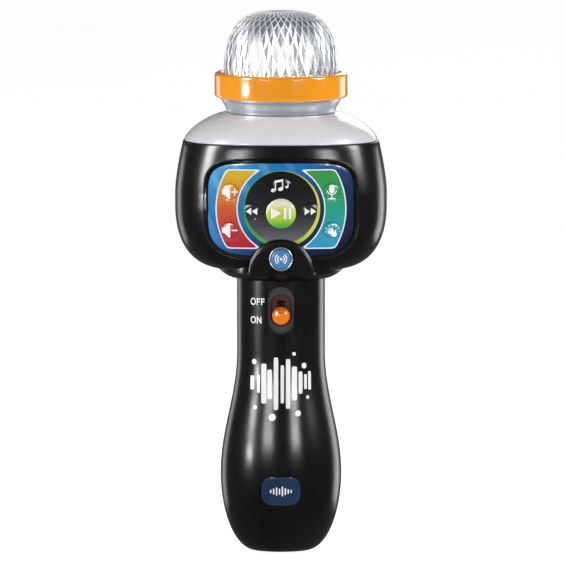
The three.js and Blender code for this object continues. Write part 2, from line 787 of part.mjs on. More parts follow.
add(
  'speaker_cone',
  turnedY(
    [
      [coneEdge, speakerFace - 0.4],
      [coneEdge, speakerFace - 0.9],
      [coneEdge - coneRoll, speakerFace - 0.9],
      [capRadius, basketBack + 3.6],
      [0, basketBack + 4.4],
      [0, basketBack + 4.9],
      [capRadius, basketBack + 4.3],
      [coneEdge - coneRoll, speakerFace - 0.3],
      [coneEdge, speakerFace - 0.4],
    ],
    0, panelLevel, 16,
  ),
  '#17171a', 0.8,
);

// ---------------------------------------------------------------- keys

const keys = [
  { name: 'volume_up', x: -sideKeyX, z: keyLevel + sideKeyRise, radius: keyRadius, colour: '#d98a20' },
  { name: 'volume_down', x: -sideKeyX, z: keyLevel - sideKeyRise, radius: keyRadius, colour: '#b02030' },
  { name: 'voice_effect', x: sideKeyX, z: keyLevel + sideKeyRise, radius: keyRadius, colour: '#3c9a3c' },
  { name: 'applause', x: sideKeyX, z: keyLevel - sideKeyRise, radius: keyRadius, colour: '#2a9ac0' },
  { name: 'previous', x: -innerKeyX, z: keyLevel, radius: keyRadius, colour: '#1c1c20' },
  { name: 'next', x: innerKeyX, z: keyLevel, radius: keyRadius, colour: '#1c1c20' },
  { name: 'mode', x: 0, z: panelLevel + modeKeyRise, radius: keyRadius, colour: '#141416' },
  { name: 'play_pause', x: 0, z: panelLevel - playKeyDrop, radius: playRadius, colour: '#a8cc3c' },
];

const keyFlangeFront = panelBack - clearance;
const keyFlangeThickness = 0.8;
const stalkRadius = 1.6;
const plungerLength = 0.9;
const plungerGap = 0.2; // left between a pressed key and its switch
const plungerTip = boardFront + switchBodyDepth + plungerLength;
const stemEnd = plungerTip + keyTravel + plungerGap;
const disc = (x, z, radius, sides) => rodY(radius, -reachFront, 0, x, z, sides);

add(
  'button_panel',
  cut(
    overlap(prismY(panelOutline(0), -reachFront, 0), bowed(panelFace, panelBack)),
    archRoom,
    ...keys.map((key) => disc(key.x, key.z, key.radius + clearance, 12)),
  ),
  '#1a5fa8', 0.2,
);

keys.forEach((key) => {
  const cap = overlap(disc(key.x, key.z, key.radius, 12), bowed(panelFace + keyProud, keyFlangeFront - 0.2));
  const flange = overlap(
    disc(key.x, key.z, key.radius + keyFlange, 12),
    bowed(keyFlangeFront, keyFlangeFront - keyFlangeThickness),
  );
  const stalk = rodY(stalkRadius, bow(key.x) - keyFlangeFront, -stemEnd, key.x, key.z, 8);
  add(`key_${key.name}`, join(cap, flange, stalk), key.colour, 0.3);
});

// Pairing button in its bezel ring.
const bezelProud = 0.4;
const bezelDepth = 4;
const bezelBevel = 0.3;
const bezelFace = bossFace + bezelProud;
const bezelBack = bossFace - bezelDepth;
add(
  'pairing_bezel',
  turnedY(
    [
      [pairingRadius + clearance, -bezelFace + bezelBevel],
      [pairingRadius + clearance + bezelBevel, -bezelFace],
      [pairingRingRadius - bezelBevel, -bezelFace],
      [pairingRingRadius, -bezelFace + bezelBevel],
      [pairingRingRadius, -bezelBack],
      [pairingRadius + clearance, -bezelBack],
      [pairingRadius + clearance, -bezelFace + bezelBevel],
    ],
    0, pairingLevel, 18,
  ),
  '#b8bcc4', 0.3, 0.5,
);
add(
  'pairing_button',
  turnedY(
    [
      [0, -bezelFace - 0.1],
      [pairingRadius - 1, -bezelFace],
      [pairingRadius, -bezelFace + 0.5],
      [pairingRadius, -bezelBack + clearance],
      [pairingRingRadius - 0.1, -bezelBack + clearance],
      [pairingRingRadius - 0.1, -bezelBack + clearance + keyFlangeThickness],
      [stalkRadius, -bezelBack + clearance + keyFlangeThickness],
      [stalkRadius, -stemEnd],
      [0, -stemEnd],
    ],
    0, pairingLevel, 18,
  ),
  '#3f84c0', 0.3,
);

// Key board with a tact switch behind each key.
const presses = [...keys, { name: 'pairing', x: 0, z: pairingLevel }];
const boardMargin = 5.5;
const boardReach = sideKeyX + 4.6;
const boardLow = keyLevel - sideKeyRise - boardMargin;
const boardHigh = panelLevel + modeKeyRise + boardMargin + 0.2;
const boardBack = -boardFront + boardThickness;
const tongueHalf = 7; // the tongue that reaches down to the pairing button's switch
const tongueLow = pairingLevel - 3.4;
const lipRoom = rodZ(spigotRadius + lipWidth + clearance, headBase, lipHigh + clearance, 0, 0, handleSides);
add(
  'key_board',
  cut(
    join(
      block(-boardReach, boardReach, -boardFront, boardBack, boardLow, boardHigh),
      block(-tongueHalf, tongueHalf, -boardFront, boardBack, tongueLow, panelLevel),
    ),
    lipRoom,
  ),
  boardGreen, 0.5,
);
const switchHalf = 2.2;
presses.forEach((press) => {
  const mountFace = boardFront + clearance;
  const canFace = -boardFront - switchBodyDepth;
  const can = block(
    press.x - switchHalf, press.x + switchHalf, canFace, -mountFace, press.z - switchHalf, press.z + switchHalf,
  );
  const plunger = rodY(1, -plungerTip, -mountFace, press.x, press.z, 8);
  add(`tact_switch_${press.name}`, join(can, plunger), '#5a5c60', 0.4, 0.6);
});

const boardSpacing = 8;
const mainBoardHalf = 26;
const mainBoardFront = boardFront - boardSpacing;
const mainBoardBack = -mainBoardFront + boardThickness;
const mainBoard = block(
  -mainBoardHalf, mainBoardHalf, -mainBoardFront, mainBoardBack, panelLevel - 12, panelLevel + 18,
);
add('main_board', mainBoard, boardGreen, 0.5);

// ---------------------------------------------------------------- shoulder, collar, ring, dome

const shoulderInset = 0.6; // the cover's edge inside the head's
const shoulderEnd = collarBaseRadius + 1;
const shoulderRound = { rise: 1.45, close: 0.72 };

function shoulderLevel(share, inset = 0) {
  const edge = headLevel(headTop);
  const closing = (1 - share ** shoulderRound.rise) ** shoulderRound.close;
  const width = shoulderEnd + (edge.w - shoulderInset - shoulderEnd) * closing;
  const endDepth = shoulderEnd - 0.4;
  const depth = endDepth + (edge.d - shoulderInset - endDepth) * closing;
  const z = shoulderBase + share * shoulderHeight;
  return { z, w: width - inset, d: depth - inset, n: edge.n + (2 - edge.n) * share };
}

const shoulderShares = [0, 0.25, 0.6, 1];
const collarHole = collarBaseRadius - 3;
const shoulderInner = shoulderShares.slice(0, -1).map((share) => {
  const level = shoulderLevel(share, shoulderWall);
  return { ...level, z: level.z - shoulderWall * share };
});
const skirtDepth = 3.5;
const skirtWall = 1.6;
const skirtLevel = (inset, z) => ({ ...headLevel(headTop, headWall + clearance + inset), z });
const skirt = cut(
  loft([skirtLevel(0, headTop - skirtDepth), skirtLevel(0, shoulderBase + 1)]),
  loft([skirtLevel(skirtWall, headTop - skirtDepth - 1), skirtLevel(skirtWall, shoulderBase + 2)]),
);
add(
  'shoulder_cover',
  cut(
    join(
      cut(
        loft(shoulderShares.map((share) => shoulderLevel(share))),
        loft([{ ...shoulderInner[0], z: shoulderBase - 1 }, ...shoulderInner]),
      ),
      skirt,
    ),
    rodZ(collarHole, shoulderBase - 10, shoulderTop + 5, 0, 0, handleSides),
  ),
  '#d8d8de', 0.2, 0.1,
);

// Collar: a flared cup that carries the lamp board and stands up inside the ring.
const domeFlange = 1.4;
const lipBase = ringTop - ringLip;
const rimOfCollar = lipBase - domeFlange - 2 * clearance;
const ledgeRise = 2.4; // of the lamp board's ledge above the foot of the ring
const boardLedge = ringBase + ledgeRise;
const lampBoardInset = 2.6;
const lampBoardRadius = collarTopRadius - lampBoardInset;
const collarThroat = collarHole - 2.5;
const collarFoot = shoulderTop - 2.6;
add(
  'collar',
  turned([
    [collarHole - clearance, collarFoot],
    [collarHole - clearance, collarBase],
    [collarBaseRadius, collarBase],
    [collarBaseRadius + 0.1, collarBase + 1],
    [collarBaseRadius + 0.9, collarBase + collarHeight * 0.42],
    [collarTopRadius - 0.6, collarBase + collarHeight * 0.72],
    [collarTopRadius, ringBase - clearance],
    [collarTopRadius, rimOfCollar],
    [lampBoardRadius + clearance, rimOfCollar],
    [lampBoardRadius + clearance, boardLedge],
    [lampBoardRadius - 1.5, boardLedge],
    [collarThroat, collarBase + 1],
    [collarThroat, collarFoot],
    [collarHole - clearance, collarFoot],
  ]),
  '#b0b6be', 0.35, 0.4,
);

const flangeRoom = collarTopRadius + 0.6;
const domeBore = domeRadius + clearance;
const ringRound = 1.5;
const corner = ringRound * (1 - Math.SQRT1_2);
add(
  'accent_ring',
  turned([
    [collarTopRadius + clearance, ringBase],
    [ringRadius - ringRound, ringBase],
    [ringRadius - corner, ringBase + corner],
    [ringRadius, ringBase + ringRound],
    [ringRadius, ringTop - ringRound],
    [ringRadius - corner, ringTop - corner],
    [ringRadius - ringRound, ringTop],
    [domeBore, ringTop],
    [domeBore, lipBase],
    [flangeRoom + clearance, lipBase],
    [flangeRoom + clearance, rimOfCollar],
    [collarTopRadius + clearance, rimOfCollar],
    [collarTopRadius + clearance, ringBase],
  ]),
  '#f0961e', 0.2,
);

// Dome: nearly upright sides that turn over into a flattened crown.
const flangeTop = lipBase - clearance;
const flangeBase = flangeTop - domeFlange;
const domeSquare = { side: 0.52, crown: 0.92 };
const domeCurve = (turn, radius, base, height) => [
  radius * Math.cos(turn) ** domeSquare.side,
  base + height * Math.sin(turn) ** domeSquare.crown,
];
const domeTurns = [0, 0.25, 0.6, 1, 1.35];
const domeLine = (radius, top) => domeTurns.map((turn) => domeCurve(turn, radius, flangeTop, top - flangeTop));
const outerDome = domeLine(domeRadius, domeTop);
const innerDome = domeLine(domeRadius - domeWall, domeTop - domeWall);
add(
  'grille_dome',
  turned([
    [0, domeTop],
    ...outerDome.reverse(),
    [flangeRoom, flangeTop],
    [flangeRoom, flangeBase],
    [domeRadius - domeWall, flangeBase],
    ...innerDome,
    [0, domeTop - domeWall],
  ]),
  '#dfe3e8', 0.1,
);

const lampBoardBase = boardLedge + clearance;
const lampBoardTop = lampBoardBase + boardThickness;
add('lamp_board', rodZ(lampBoardRadius, lampBoardBase, lampBoardTop, 0, 0, 16), boardGreen, 0.5);
const lampRing = 13;
const lamp = { base: 2.9, rim: 1, radius: 2.5, side: 4.5, tip: 1.6, shoulder: 6.2, height: 6.8 };
thirds.forEach((angle, i) => {
  const turn = THREE.MathUtils.degToRad(angle);
  const foot = lampBoardTop + clearance;
  const profile = [
    [0, foot],
    [lamp.base, foot],
    [lamp.base, foot + lamp.rim],
    [lamp.radius, foot + lamp.rim],
    [lamp.radius, foot + lamp.side],
    [lamp.tip, foot + lamp.shoulder],
    [0, foot + lamp.height],
  ];
  const bulb = turned(profile, 12).translate(lampRing * Math.cos(turn), lampRing * Math.sin(turn), 0);
  add(`lamp_${i + 1}`, bulb, ['#e04848', '#48c868', '#4878e8'][i], 0.2);
});

// A silvered shade under the clear dome spreads the lamps' light.
const shadeGap = domeWall + 0.5;
const shadeWall = 1;
const shadeBase = lampBoardTop + clearance;
const shadeRadius = domeRadius - shadeGap;
const shadeTop = domeTop - shadeGap;
const shadeCurve = (radius, top) => domeLine(radius, top).slice(0, -1);
const shadeFoot = lampBoardRadius - 0.5;
add(
  'dome_shade',
  turned([
    [0, shadeTop],
    ...shadeCurve(shadeRadius, shadeTop).reverse(),
    [shadeFoot, shadeBase],
    [shadeFoot - shadeWall, shadeBase],
    ...shadeCurve(shadeRadius - shadeWall, shadeTop - shadeWall),
    [0, shadeTop - shadeWall],
  ], 20),
  '#c9ccd2', 0.25, 0.6,
);

// Voice pick-up in a rubber boot at the centre of the lamp board.
const bootBase = lampBoardTop + clearance;
const capsuleRadius = 4.85;
const capsuleHeight = 6.7;
const bootFloor = 1.6;
const bootHeight = 7.5;
const bootRadius = capsuleRadius + 1.8;
const capsuleBase = bootBase + bootFloor + clearance;
add(
  'mic_boot',
  turned([
    [0, bootBase],
    [bootRadius, bootBase],
    [bootRadius, bootBase + bootHeight],
    [capsuleRadius + clearance, bootBase + bootHeight],
    [capsuleRadius + clearance, bootBase + bootFloor],
    [0, bootBase + bootFloor],
  ], 14),
  '#202022', 0.8,
);
add(
  'mic_capsule',
  rodZ(capsuleRadius, capsuleBase, capsuleBase + capsuleHeight, 0, 0, 14),
  '#c4c7cb', 0.35, 0.9,
);

// ---------------------------------------------------------------- leads

const leadRadius = 0.9;

function lead(name, points, colour) {
  const route = new THREE.CatmullRomCurve3(points.map(([x, y, z]) => new THREE.Vector3(x, y, z)));
  const section = new THREE.Shape().absarc(0, 0, leadRadius, 0, 2 * Math.PI, false);
  const path = { steps: 12, extrudePath: route, curveSegments: 2, bevelEnabled: false };
  const tube = new THREE.ExtrudeGeometry(section, path);
  add(name, toGeometry(toSolid(tube)), colour, 0.6);
}

const leadX = gripRadius - 7.3;
const leadBoardX = 14;
const leadBoardDepth = mainBoardFront - 7.5;
const leadEnd = mainBoardBack + clearance + 1;
lead('lead_power', [
  [leadX - 3, -4, trayTop + trayWall + clearance],
  [leadX - 0.5, -5, doorHigh + 12],
  [leadX, -5, slotLevel],
  [leadX - 0.5, -4, handleLength + 6],
  [leadX + 1, -6, headBase + 10],
  [leadBoardX, -leadBoardDepth, panelLevel - 4],
  [leadBoardX, leadEnd, panelLevel],
], '#b02020');
lead('lead_lamp', [
  [-leadBoardX, leadEnd, panelLevel + 8],
  [-leadBoardX, -leadBoardDepth, panelLevel + 12],
  [-10, -6, headTop],
  [-8, -3, shoulderTop],
  [-8, 0, lampBoardBase - clearance],
], '#d8b020');

export default group;
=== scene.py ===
import math

import bmesh
import bpy
from mathutils import Matrix, Vector
from mathutils.geometry import delaunay_2d_cdt


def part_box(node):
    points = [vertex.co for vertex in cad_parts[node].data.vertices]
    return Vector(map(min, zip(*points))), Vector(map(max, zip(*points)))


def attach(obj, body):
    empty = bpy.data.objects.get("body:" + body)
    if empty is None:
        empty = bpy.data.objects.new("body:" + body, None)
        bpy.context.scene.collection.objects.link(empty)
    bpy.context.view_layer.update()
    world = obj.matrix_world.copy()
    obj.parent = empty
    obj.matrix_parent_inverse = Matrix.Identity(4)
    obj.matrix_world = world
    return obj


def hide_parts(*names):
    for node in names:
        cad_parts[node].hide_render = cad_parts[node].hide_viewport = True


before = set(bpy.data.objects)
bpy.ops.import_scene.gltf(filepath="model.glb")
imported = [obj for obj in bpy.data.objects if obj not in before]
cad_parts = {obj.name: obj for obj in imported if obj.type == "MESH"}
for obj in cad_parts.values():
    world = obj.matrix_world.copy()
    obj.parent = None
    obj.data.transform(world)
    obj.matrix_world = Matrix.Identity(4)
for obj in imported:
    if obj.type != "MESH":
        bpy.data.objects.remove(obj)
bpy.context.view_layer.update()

# Karaoke microphone. Sizes are in millimetres until a mesh is made, X right, Z up, the key panel faces -Y.
mm = 0.001
fit = 0.3  # gap between pieces
scene = bpy.context.scene
scene.view_settings.view_transform = "Standard"


def corners(node):  # lowest and highest corner of a frame node
    low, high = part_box(node)
    return low / mm, high / mm


headBase = corners("head_rear_shell")[0].z
headTop = corners("head_rear_shell")[1].z
handleTop = corners("neck_flange")[0].z - fit
shoulderTop = corners("shoulder_cover")[1].z
collarBase = shoulderTop + fit
ringBase = corners("accent_ring")[0].z
ringTop = corners("accent_ring")[1].z
domeTop = corners("grille_dome")[1].z
panelFace = -corners("button_panel")[0].y
panelLevel = (corners("key_volume_up")[1].z + corners("key_volume_down")[0].z) / 2 + 0.6
pairingLow, pairingHigh = corners("pairing_bezel")
pairingLevel = (pairingLow.z + pairingHigh.z) / 2

print("mesh helpers")


def power(value, n):  # keeps the sign
    return math.copysign(abs(value) ** n, value)


def evenly(points, count, closed=False):  # the same line with evenly spaced points
    line = points + points[:1] if closed else points
    run = [0.0]
    for a, b in zip(line, line[1:]):
        run.append(run[-1] + math.dist(a, b))
    stops = count if closed else count - 1
    made = []
    k = 0
    for i in range(count):
        aim = run[-1] * i / stops
        while k < len(run) - 2 and run[k + 1] < aim:
            k += 1
        share = (aim - run[k]) / max(run[k + 1] - run[k], 1e-9)
        made.append(tuple(p + (q - p) * min(share, 1.0) for p, q in zip(line[k], line[k + 1])))
    return made


def newMesh(name, points, faces, smooth=True, sharpAngle=35):
    mesh = bpy.data.meshes.new(name)
    mesh.from_pydata([Vector(p) * mm for p in points], [], faces)
    work = bmesh.new()
    work.from_mesh(mesh)
    bmesh.ops.remove_doubles(work, verts=work.verts, dist=1e-6)
    bmesh.ops.recalc_face_normals(work, faces=work.faces)
    work.to_mesh(mesh)
    work.free()
    if smooth:
        mesh.shade_smooth()
        mesh.set_sharp_from_angle(angle=math.radians(sharpAngle))
    piece = bpy.data.objects.new(name, mesh)
    scene.collection.objects.link(piece)
    return piece


def skinFaces(rows, around=True, along=False, start=0):
    # quads between rows of points; a row of one is a pole, along joins the last row to the first
    faces = []
    starts = [start]
    for row in rows:
        starts.append(starts[-1] + len(row))
    pairs = list(range(len(rows) - 1)) + ([len(rows) - 1] if along else [])
    for i in pairs:
        j = (i + 1) % len(rows)
        a, b = starts[i], starts[j]
        count = max(len(rows[i]), len(rows[j]))
        for k in range(count if around else count - 1):
            m = (k + 1) % count
            if len(rows[i]) == 1:
                faces.append((a, b + m, b + k))
            elif len(rows[j]) == 1:
                faces.append((a + k, a + m, b))
            else:
                faces.append((a + k, a + m, b + m, b + k))
    return faces


def flat(rows):
    return [point for row in rows for point in row]


def turned(name, profile, sides=160, sharpAngle=35):  # about Z, from radius and height
    rows = []
    for radius, z in profile:
        if radius < 1e-6:
            rows.append([(0, 0, z)])
        else:
            turns = [2 * math.pi * i / sides for i in range(sides)]
            rows.append([(radius * math.cos(t), radius * math.sin(t), z) for t in turns])
    closed = profile[0][0] > 1e-6 and profile[-1][0] > 1e-6
    return newMesh(name, flat(rows), skinFaces(rows, along=closed), sharpAngle=sharpAngle)


def turnedAcross(name, profile, x, z, sides=64, shift=None, sharpAngle=35):  # about a line along Y
    rows = []
    for radius, y in profile:
        if radius < 1e-6:
            rows.append([(x, y + (shift(x) if shift else 0), z)])
        else:
            row = []
            for i in range(sides):
                t = 2 * math.pi * i / sides
                px = x + radius * math.cos(t)
                row.append((px, y + (shift(px) if shift else 0), z + radius * math.sin(t)))
            rows.append(row)
    closed = profile[0][0] > 1e-6 and profile[-1][0] > 1e-6
    return newMesh(name, flat(rows), skinFaces(rows, along=closed), sharpAngle=sharpAngle)


def halfOutline(level, side, count):
    # half of a rounded-square level, left to right, clear of the parting plane
    z, w, d, n = level
    fine = []
    for i in range(6 * count + 1):
        turn = math.pi * i / (6 * count)
        fine.append((-w * power(math.cos(turn), 2 / n), d * abs(math.sin(turn)) ** (2 / n)))
    return [(x, side * max(y, fit / 2), z) for x, y in evenly(fine, count)]


def halfShell(name, outer, inner, side, count):  # half of a hollow body, from matching levels
    loop = outer + inner[::-1]
    rows = [halfOutline(level, side, count) for level in loop]
    faces = skinFaces(rows, around=False, along=True)
    for i in range(len(outer) - 1):
        a, b = i * count, (i + 1) * count
        c, d = (len(loop) - 2 - i) * count, (len(loop) - 1 - i) * count
        faces.append((a, b, c, d))
        faces.append((d + count - 1, c + count - 1, b + count - 1, a + count - 1))
    return newMesh(name, flat(rows), faces)


def fullOutline(level, count):
    z, w, d, n = level
    fine = []
    for i in range(6 * count):
        turn = 2 * math.pi * i / (6 * count)
        fine.append((w * power(math.cos(turn), 2 / n), d * power(math.sin(turn), 2 / n)))
    return [(x, y, z) for x, y in evenly(fine, count, closed=True)]


def block(name, left, right, front, back, low, high):
    points = [(x, y, z) for x in (left, right) for y in (front, back) for z in (low, high)]
    faces = [(0, 1, 3, 2), (4, 6, 7, 5), (0, 4, 5, 1), (2, 3, 7, 6), (0, 2, 6, 4), (1, 5, 7, 3)]
    return newMesh(name, points, faces, smooth=False)


def prism(name, outline, front, back, taper=0.0):
    # an outline in x and z, pushed along Y; taper widens its front
    middle = Vector([sum(p[i] for p in outline) / len(outline) for i in (0, 1)])
    rows = []
    for y, grow in ((front, taper), (back, 0.0)):
        row = []
        for p in outline:
            out = Vector(p) - middle
            out = out + out.normalized() * grow
            row.append((middle.x + out.x, y, middle.y + out.y))
        rows.append(row)
    count = len(outline)
    faces = skinFaces(rows) + [tuple(range(count)), tuple(range(2 * count - 1, count - 1, -1))]
    return newMesh(name, flat(rows), faces)


def combine(piece, tools, operation="DIFFERENCE"):  # cuts or adds the tools, which are used up
    for tool in tools:
        step = piece.modifiers.new("step", "BOOLEAN")
        step.operation = operation
        step.solver = "EXACT"
        step.object = tool
        whole = piece.evaluated_get(bpy.context.evaluated_depsgraph_get())
        solved = bpy.data.meshes.new_from_object(whole)
        piece.modifiers.clear()
        piece.data = solved
        bpy.data.objects.remove(tool)
    piece.data.shade_smooth()
    piece.data.set_sharp_from_angle(angle=math.radians(35))
    return piece


def joined(piece, others):  # one object from several closed bodies
    work = bmesh.new()
    work.from_mesh(piece.data)
    for other in others:
        work.from_mesh(other.data)
        bpy.data.objects.remove(other)
    work.to_mesh(piece.data)
    work.free()
    return piece


def inLoop(point, loop):
    x, y = point
    inside = False
    for (ax, ay), (bx, by) in zip(loop, loop[1:] + loop[:1]):
        if (ay > y) != (by > y) and x < ax + (y - ay) * (bx - ax) / (by - ay):
            inside = not inside
    return inside


def region(shapes, holes, spacing, within):
    # triangles of a flat region, even enough to bend over a surface; only what lies in all of within is kept
    points, edges = [], []
    loops = []
    for loop in shapes + holes + list(within):
        fine = []
        for a, b in zip(loop, loop[1:] + loop[:1]):
            parts = max(1, math.ceil(math.dist(a, b) / spacing))
            fine += [tuple(p + (q - p) * i / parts for p, q in zip(a, b)) for i in range(parts)]
        first = len(points)
        points += fine
        edges += [(first + i, first + (i + 1) % len(fine)) for i in range(len(fine))]
        loops.append(fine)

    def inside(p):
        drawn = any(inLoop(p, loop) for loop in shapes) and not any(inLoop(p, loop) for loop in holes)
        return drawn and all(inLoop(p, loop) for loop in within)

    rim = list(points)
    low = [min(p[i] for p in rim) for i in (0, 1)]
    high = [max(p[i] for p in rim) for i in (0, 1)]
    for i in range(1, int((high[0] - low[0]) / spacing) + 1):
        for j in range(1, int((high[1] - low[1]) / spacing) + 1):
            p = (low[0] + i * spacing, low[1] + j * spacing)
            near = any(max(abs(p[0] - q[0]), abs(p[1] - q[1])) < 0.5 * spacing for q in rim)
            if not near and inside(p):
                points.append(p)
    solved = delaunay_2d_cdt([Vector(p) for p in points], edges, [], 1, 1e-7)
    spots, triangles = solved[0], solved[2]
    kept = [t for t in triangles if inside([sum(spots[k][i] for k in t) / 3 for i in (0, 1)])]
    return spots, kept


def plate(name, shapes, place, front, back, holes=(), spacing=1.0, soften=0.0, within=()):
    # a flat region carried onto a surface, as thick as front minus back; soften pulls its front edge back
    spots, triangles = region(list(shapes), list(holes), spacing, within)
    uses = {}
    for t in triangles:
        for a, b in zip(t, list(t[1:]) + [t[0]]):
            uses[(a, b)] = uses.get((a, b), 0) + 1
    border = [(a, b) for (a, b) in uses if (b, a) not in uses]
    edgePoints = {k for pair in border for k in pair}
    count = len(spots)
    points = [place(p[0], p[1], front - (soften if k in edgePoints else 0)) for k, p in enumerate(spots)]
    points += [place(p[0], p[1], back) for p in spots]
    faces = [tuple(t) for t in triangles] + [tuple(k + count for k in reversed(t)) for t in triangles]
    faces += [(b, a, a + count, b + count) for a, b in border]
    used = sorted({k for face in faces for k in face})
    index = {k: i for i, k in enumerate(used)}
    return newMesh(name, [points[k] for k in used], [tuple(index[k] for k in face) for face in faces])


def ellipse(x, y, halfWide, halfHigh, n=2.0, count=28, tilt=0.0):
    made = []
    for i in range(count):
        turn = 2 * math.pi * i / count
        a, b = halfWide * power(math.cos(turn), 2 / n), halfHigh * power(math.sin(turn), 2 / n)
        made.append((x + a * math.cos(tilt) - b * math.sin(tilt),
                     y + a * math.sin(tilt) + b * math.cos(tilt)))
    return made


def stroke(points, width, ends=8):  # a line drawn with a round pen, as one loop for each stretch
    loops = []
    for (ax, ay), (bx, by) in zip(points, points[1:]):
        way = math.atan2(by - ay, bx - ax)
        loop = []
        for (px, py), first in (((bx, by), -math.pi / 2), ((ax, ay), math.pi / 2)):
            for i in range(ends + 1):
                turn = way + first + math.pi * i / ends
                loop.append((px + width / 2 * math.cos(turn), py + width / 2 * math.sin(turn)))
        loops.append(loop)
    return loops


def arcLine(x, y, radius, start, end, count=10):
    turns = [math.radians(start + (end - start) * i / count) for i in range(count + 1)]
    return [(x + radius * math.cos(t), y + radius * math.sin(t)) for t in turns]


def moved(loops, x, y, size=1.0):
    return [[(x + size * px, y + size * py) for px, py in loop] for loop in loops]


def stand(piece, body, finish, slot, *nodes):  # nodes are the frame nodes that the piece stands for
    piece.data.materials.clear()
    piece.data.materials.append(finish)
    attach(piece, body)
    if nodes:
        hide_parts(*nodes)
    return piece


print("finishes")


def tone(code, alpha=1.0):  # a screen colour as the linear one that shaders take
    parts = [int(code[i:i + 2], 16) / 255 for i in (1, 3, 5)]
    return (*[p / 12.92 if p <= 0.04045 else ((p + 0.055) / 1.055) ** 2.4 for p in parts], alpha)


class Wire:  # a node's output that can be used in a sum
    tree = None

    def __init__(self, socket):
        self.socket = socket

    @classmethod
    def node(cls, kind, settings=None, inputs=None, out=0):
        made = cls.tree.nodes.new(kind)
        for name, value in (settings or {}).items():
            if name != "stops":
                setattr(made, name, value)
                continue
            ramp = made.color_ramp.elements
            ramp[0].position, ramp[0].color = value[0]
            ramp[1].position, ramp[1].color = value[-1]
            for place, colour in value[1:-1]:
                ramp.new(place).color = colour
        for key, value in (inputs or {}).items():
            if isinstance(value, Wire):
                cls.tree.links.new(value.socket, made.inputs[key])
            else:
                made.inputs[key].default_value = value
        return cls(made.outputs[out]) if len(made.outputs) else None

    def sum(self, operation, first, second=0.0):
        return Wire.node("ShaderNodeMath", {"operation": operation}, {0: first, 1: second})

    def __add__(self, other):
        return self.sum("ADD", self, other)

    def __radd__(self, other):
        return self.sum("ADD", other, self)

    def __sub__(self, other):
        return self.sum("SUBTRACT", self, other)

    def __rsub__(self, other):
        return self.sum("SUBTRACT", other, self)

    def __mul__(self, other):
        return self.sum("MULTIPLY", self, other)

    def __rmul__(self, other):
        return self.sum("MULTIPLY", other, self)

    def __truediv__(self, other):
        return self.sum("DIVIDE", self, other)

    def least(self, other):
        return self.sum("MINIMUM", self, other)

    def size(self):
        return self.sum("ABSOLUTE", self)

    def wave(self):
        return self.sum("SINE", self)

    def root(self):
        return self.sum("SQRT", self)

    def rise(self, start, end):  # 0 at start, 1 at end, smooth between
        settings = {"interpolation_type": "SMOOTHSTEP"}
        inputs = {"Value": self, "From Min": start, "From Max": end}
        return Wire.node("ShaderNodeMapRange", settings, inputs)


def mixed(share, first, second):  # colours; the mix node's colour sockets are 6 and 7 in, 2 out
    return Wire.node("ShaderNodeMix", {"data_type": "RGBA"}, {0: share, 6: first, 7: second}, out=2)


def ramp(value, stops):  # colours along a value, as places from 0 to 1 and screen colours
    settings = {"stops": [(place, tone(colour)) for place, colour in stops]}
    return Wire.node("ShaderNodeValToRGB", settings, {"Fac": value})


def faded(colour, share):  # the same colour lighter, or darker where the share is under 1
    return tuple(min(c * share, 1) for c in colour[:3]) + (1,)


def place():
    return Wire.node("ShaderNodeTexCoord", out="Object")


def noise(scale, detail=3.0, roughness=0.55, where=None, distortion=0.0):
    inputs = {"Vector": where or place(), "Scale": scale, "Detail": detail, "Roughness": roughness,
              "Distortion": distortion}
    return Wire.node("ShaderNodeTexNoise", None, inputs)


def stretched(x, y, z):  # coordinates scaled apart, for brushed or streaked detail
    return Wire.node("ShaderNodeVectorMath", {"operation": "MULTIPLY"}, {0: place(), 1: (x, y, z)})


def bump(height, distance, strength=1.0, over=None):
    inputs = {"Height": height, "Distance": distance, "Strength": strength}
    if over:
        inputs["Normal"] = over
    return Wire.node("ShaderNodeBump", None, inputs)


def newFinish(name):
    material = bpy.data.materials.new(name)
    material.use_nodes = True
    material.node_tree.nodes.clear()
    Wire.tree = material.node_tree
    return material


def surface(material, inputs):
    shader = Wire.node("ShaderNodeBsdfPrincipled", None, inputs)
    Wire.node("ShaderNodeOutputMaterial", None, {"Surface": shader})
    return material


def plastic(name, colour, roughness, ior=1.45, coat=0.0, vary=0.12, peel=0.25, speck=0.0, glow=0.0):
    # faint mottling, handling haze in the gloss, orange peel and, where asked, a spark texture
    material = newFinish(name)
    base = tone(colour)
    deep = faded(base, 1 - vary)
    light = tuple(min(c * (1 + vary) + 0.0015, 1) for c in base[:3]) + (1,)
    mottle = noise(38, 4, 0.6)
    haze = noise(16, 5, 0.65, distortion=0.6)
    wipes = noise(60, 2, 0.5, stretched(1.0, 1.0, 0.12))
    gloss = roughness * (0.82 + 0.36 * haze) + 0.05 * roughness * wipes
    relief = noise(420, 2, 0.5) * peel
    normal = bump(relief, 0.00006)
    if speck:
        normal = bump(noise(2600, 2, 0.6) * speck, 0.00012, over=normal)
    inputs = {"Base Color": mixed(mottle.rise(0.35, 0.65), deep, light), "Roughness": gloss, "IOR": ior,
              "Coat Weight": coat, "Coat Roughness": 0.05, "Normal": normal}
    if glow:
        inputs["Emission Color"] = mixed(mottle, deep, light)
        inputs["Emission Strength"] = glow
    return surface(material, inputs)


def metal(name, colour, roughness, metallic=1.0, brushed=(1, 1, 1), wear=0.15):
    material = newFinish(name)
    base = tone(colour)
    lines = noise(900, 3, 0.6, stretched(*brushed))
    stain = noise(90, 4, 0.6)
    gloss = roughness * (0.75 + 0.5 * lines)
    inputs = {"Base Color": mixed(stain.rise(0.3, 0.7), faded(base, 1 - wear), base), "Metallic": metallic,
              "Roughness": gloss, "Normal": bump(lines, 0.00002, 0.6)}
    return surface(material, inputs)


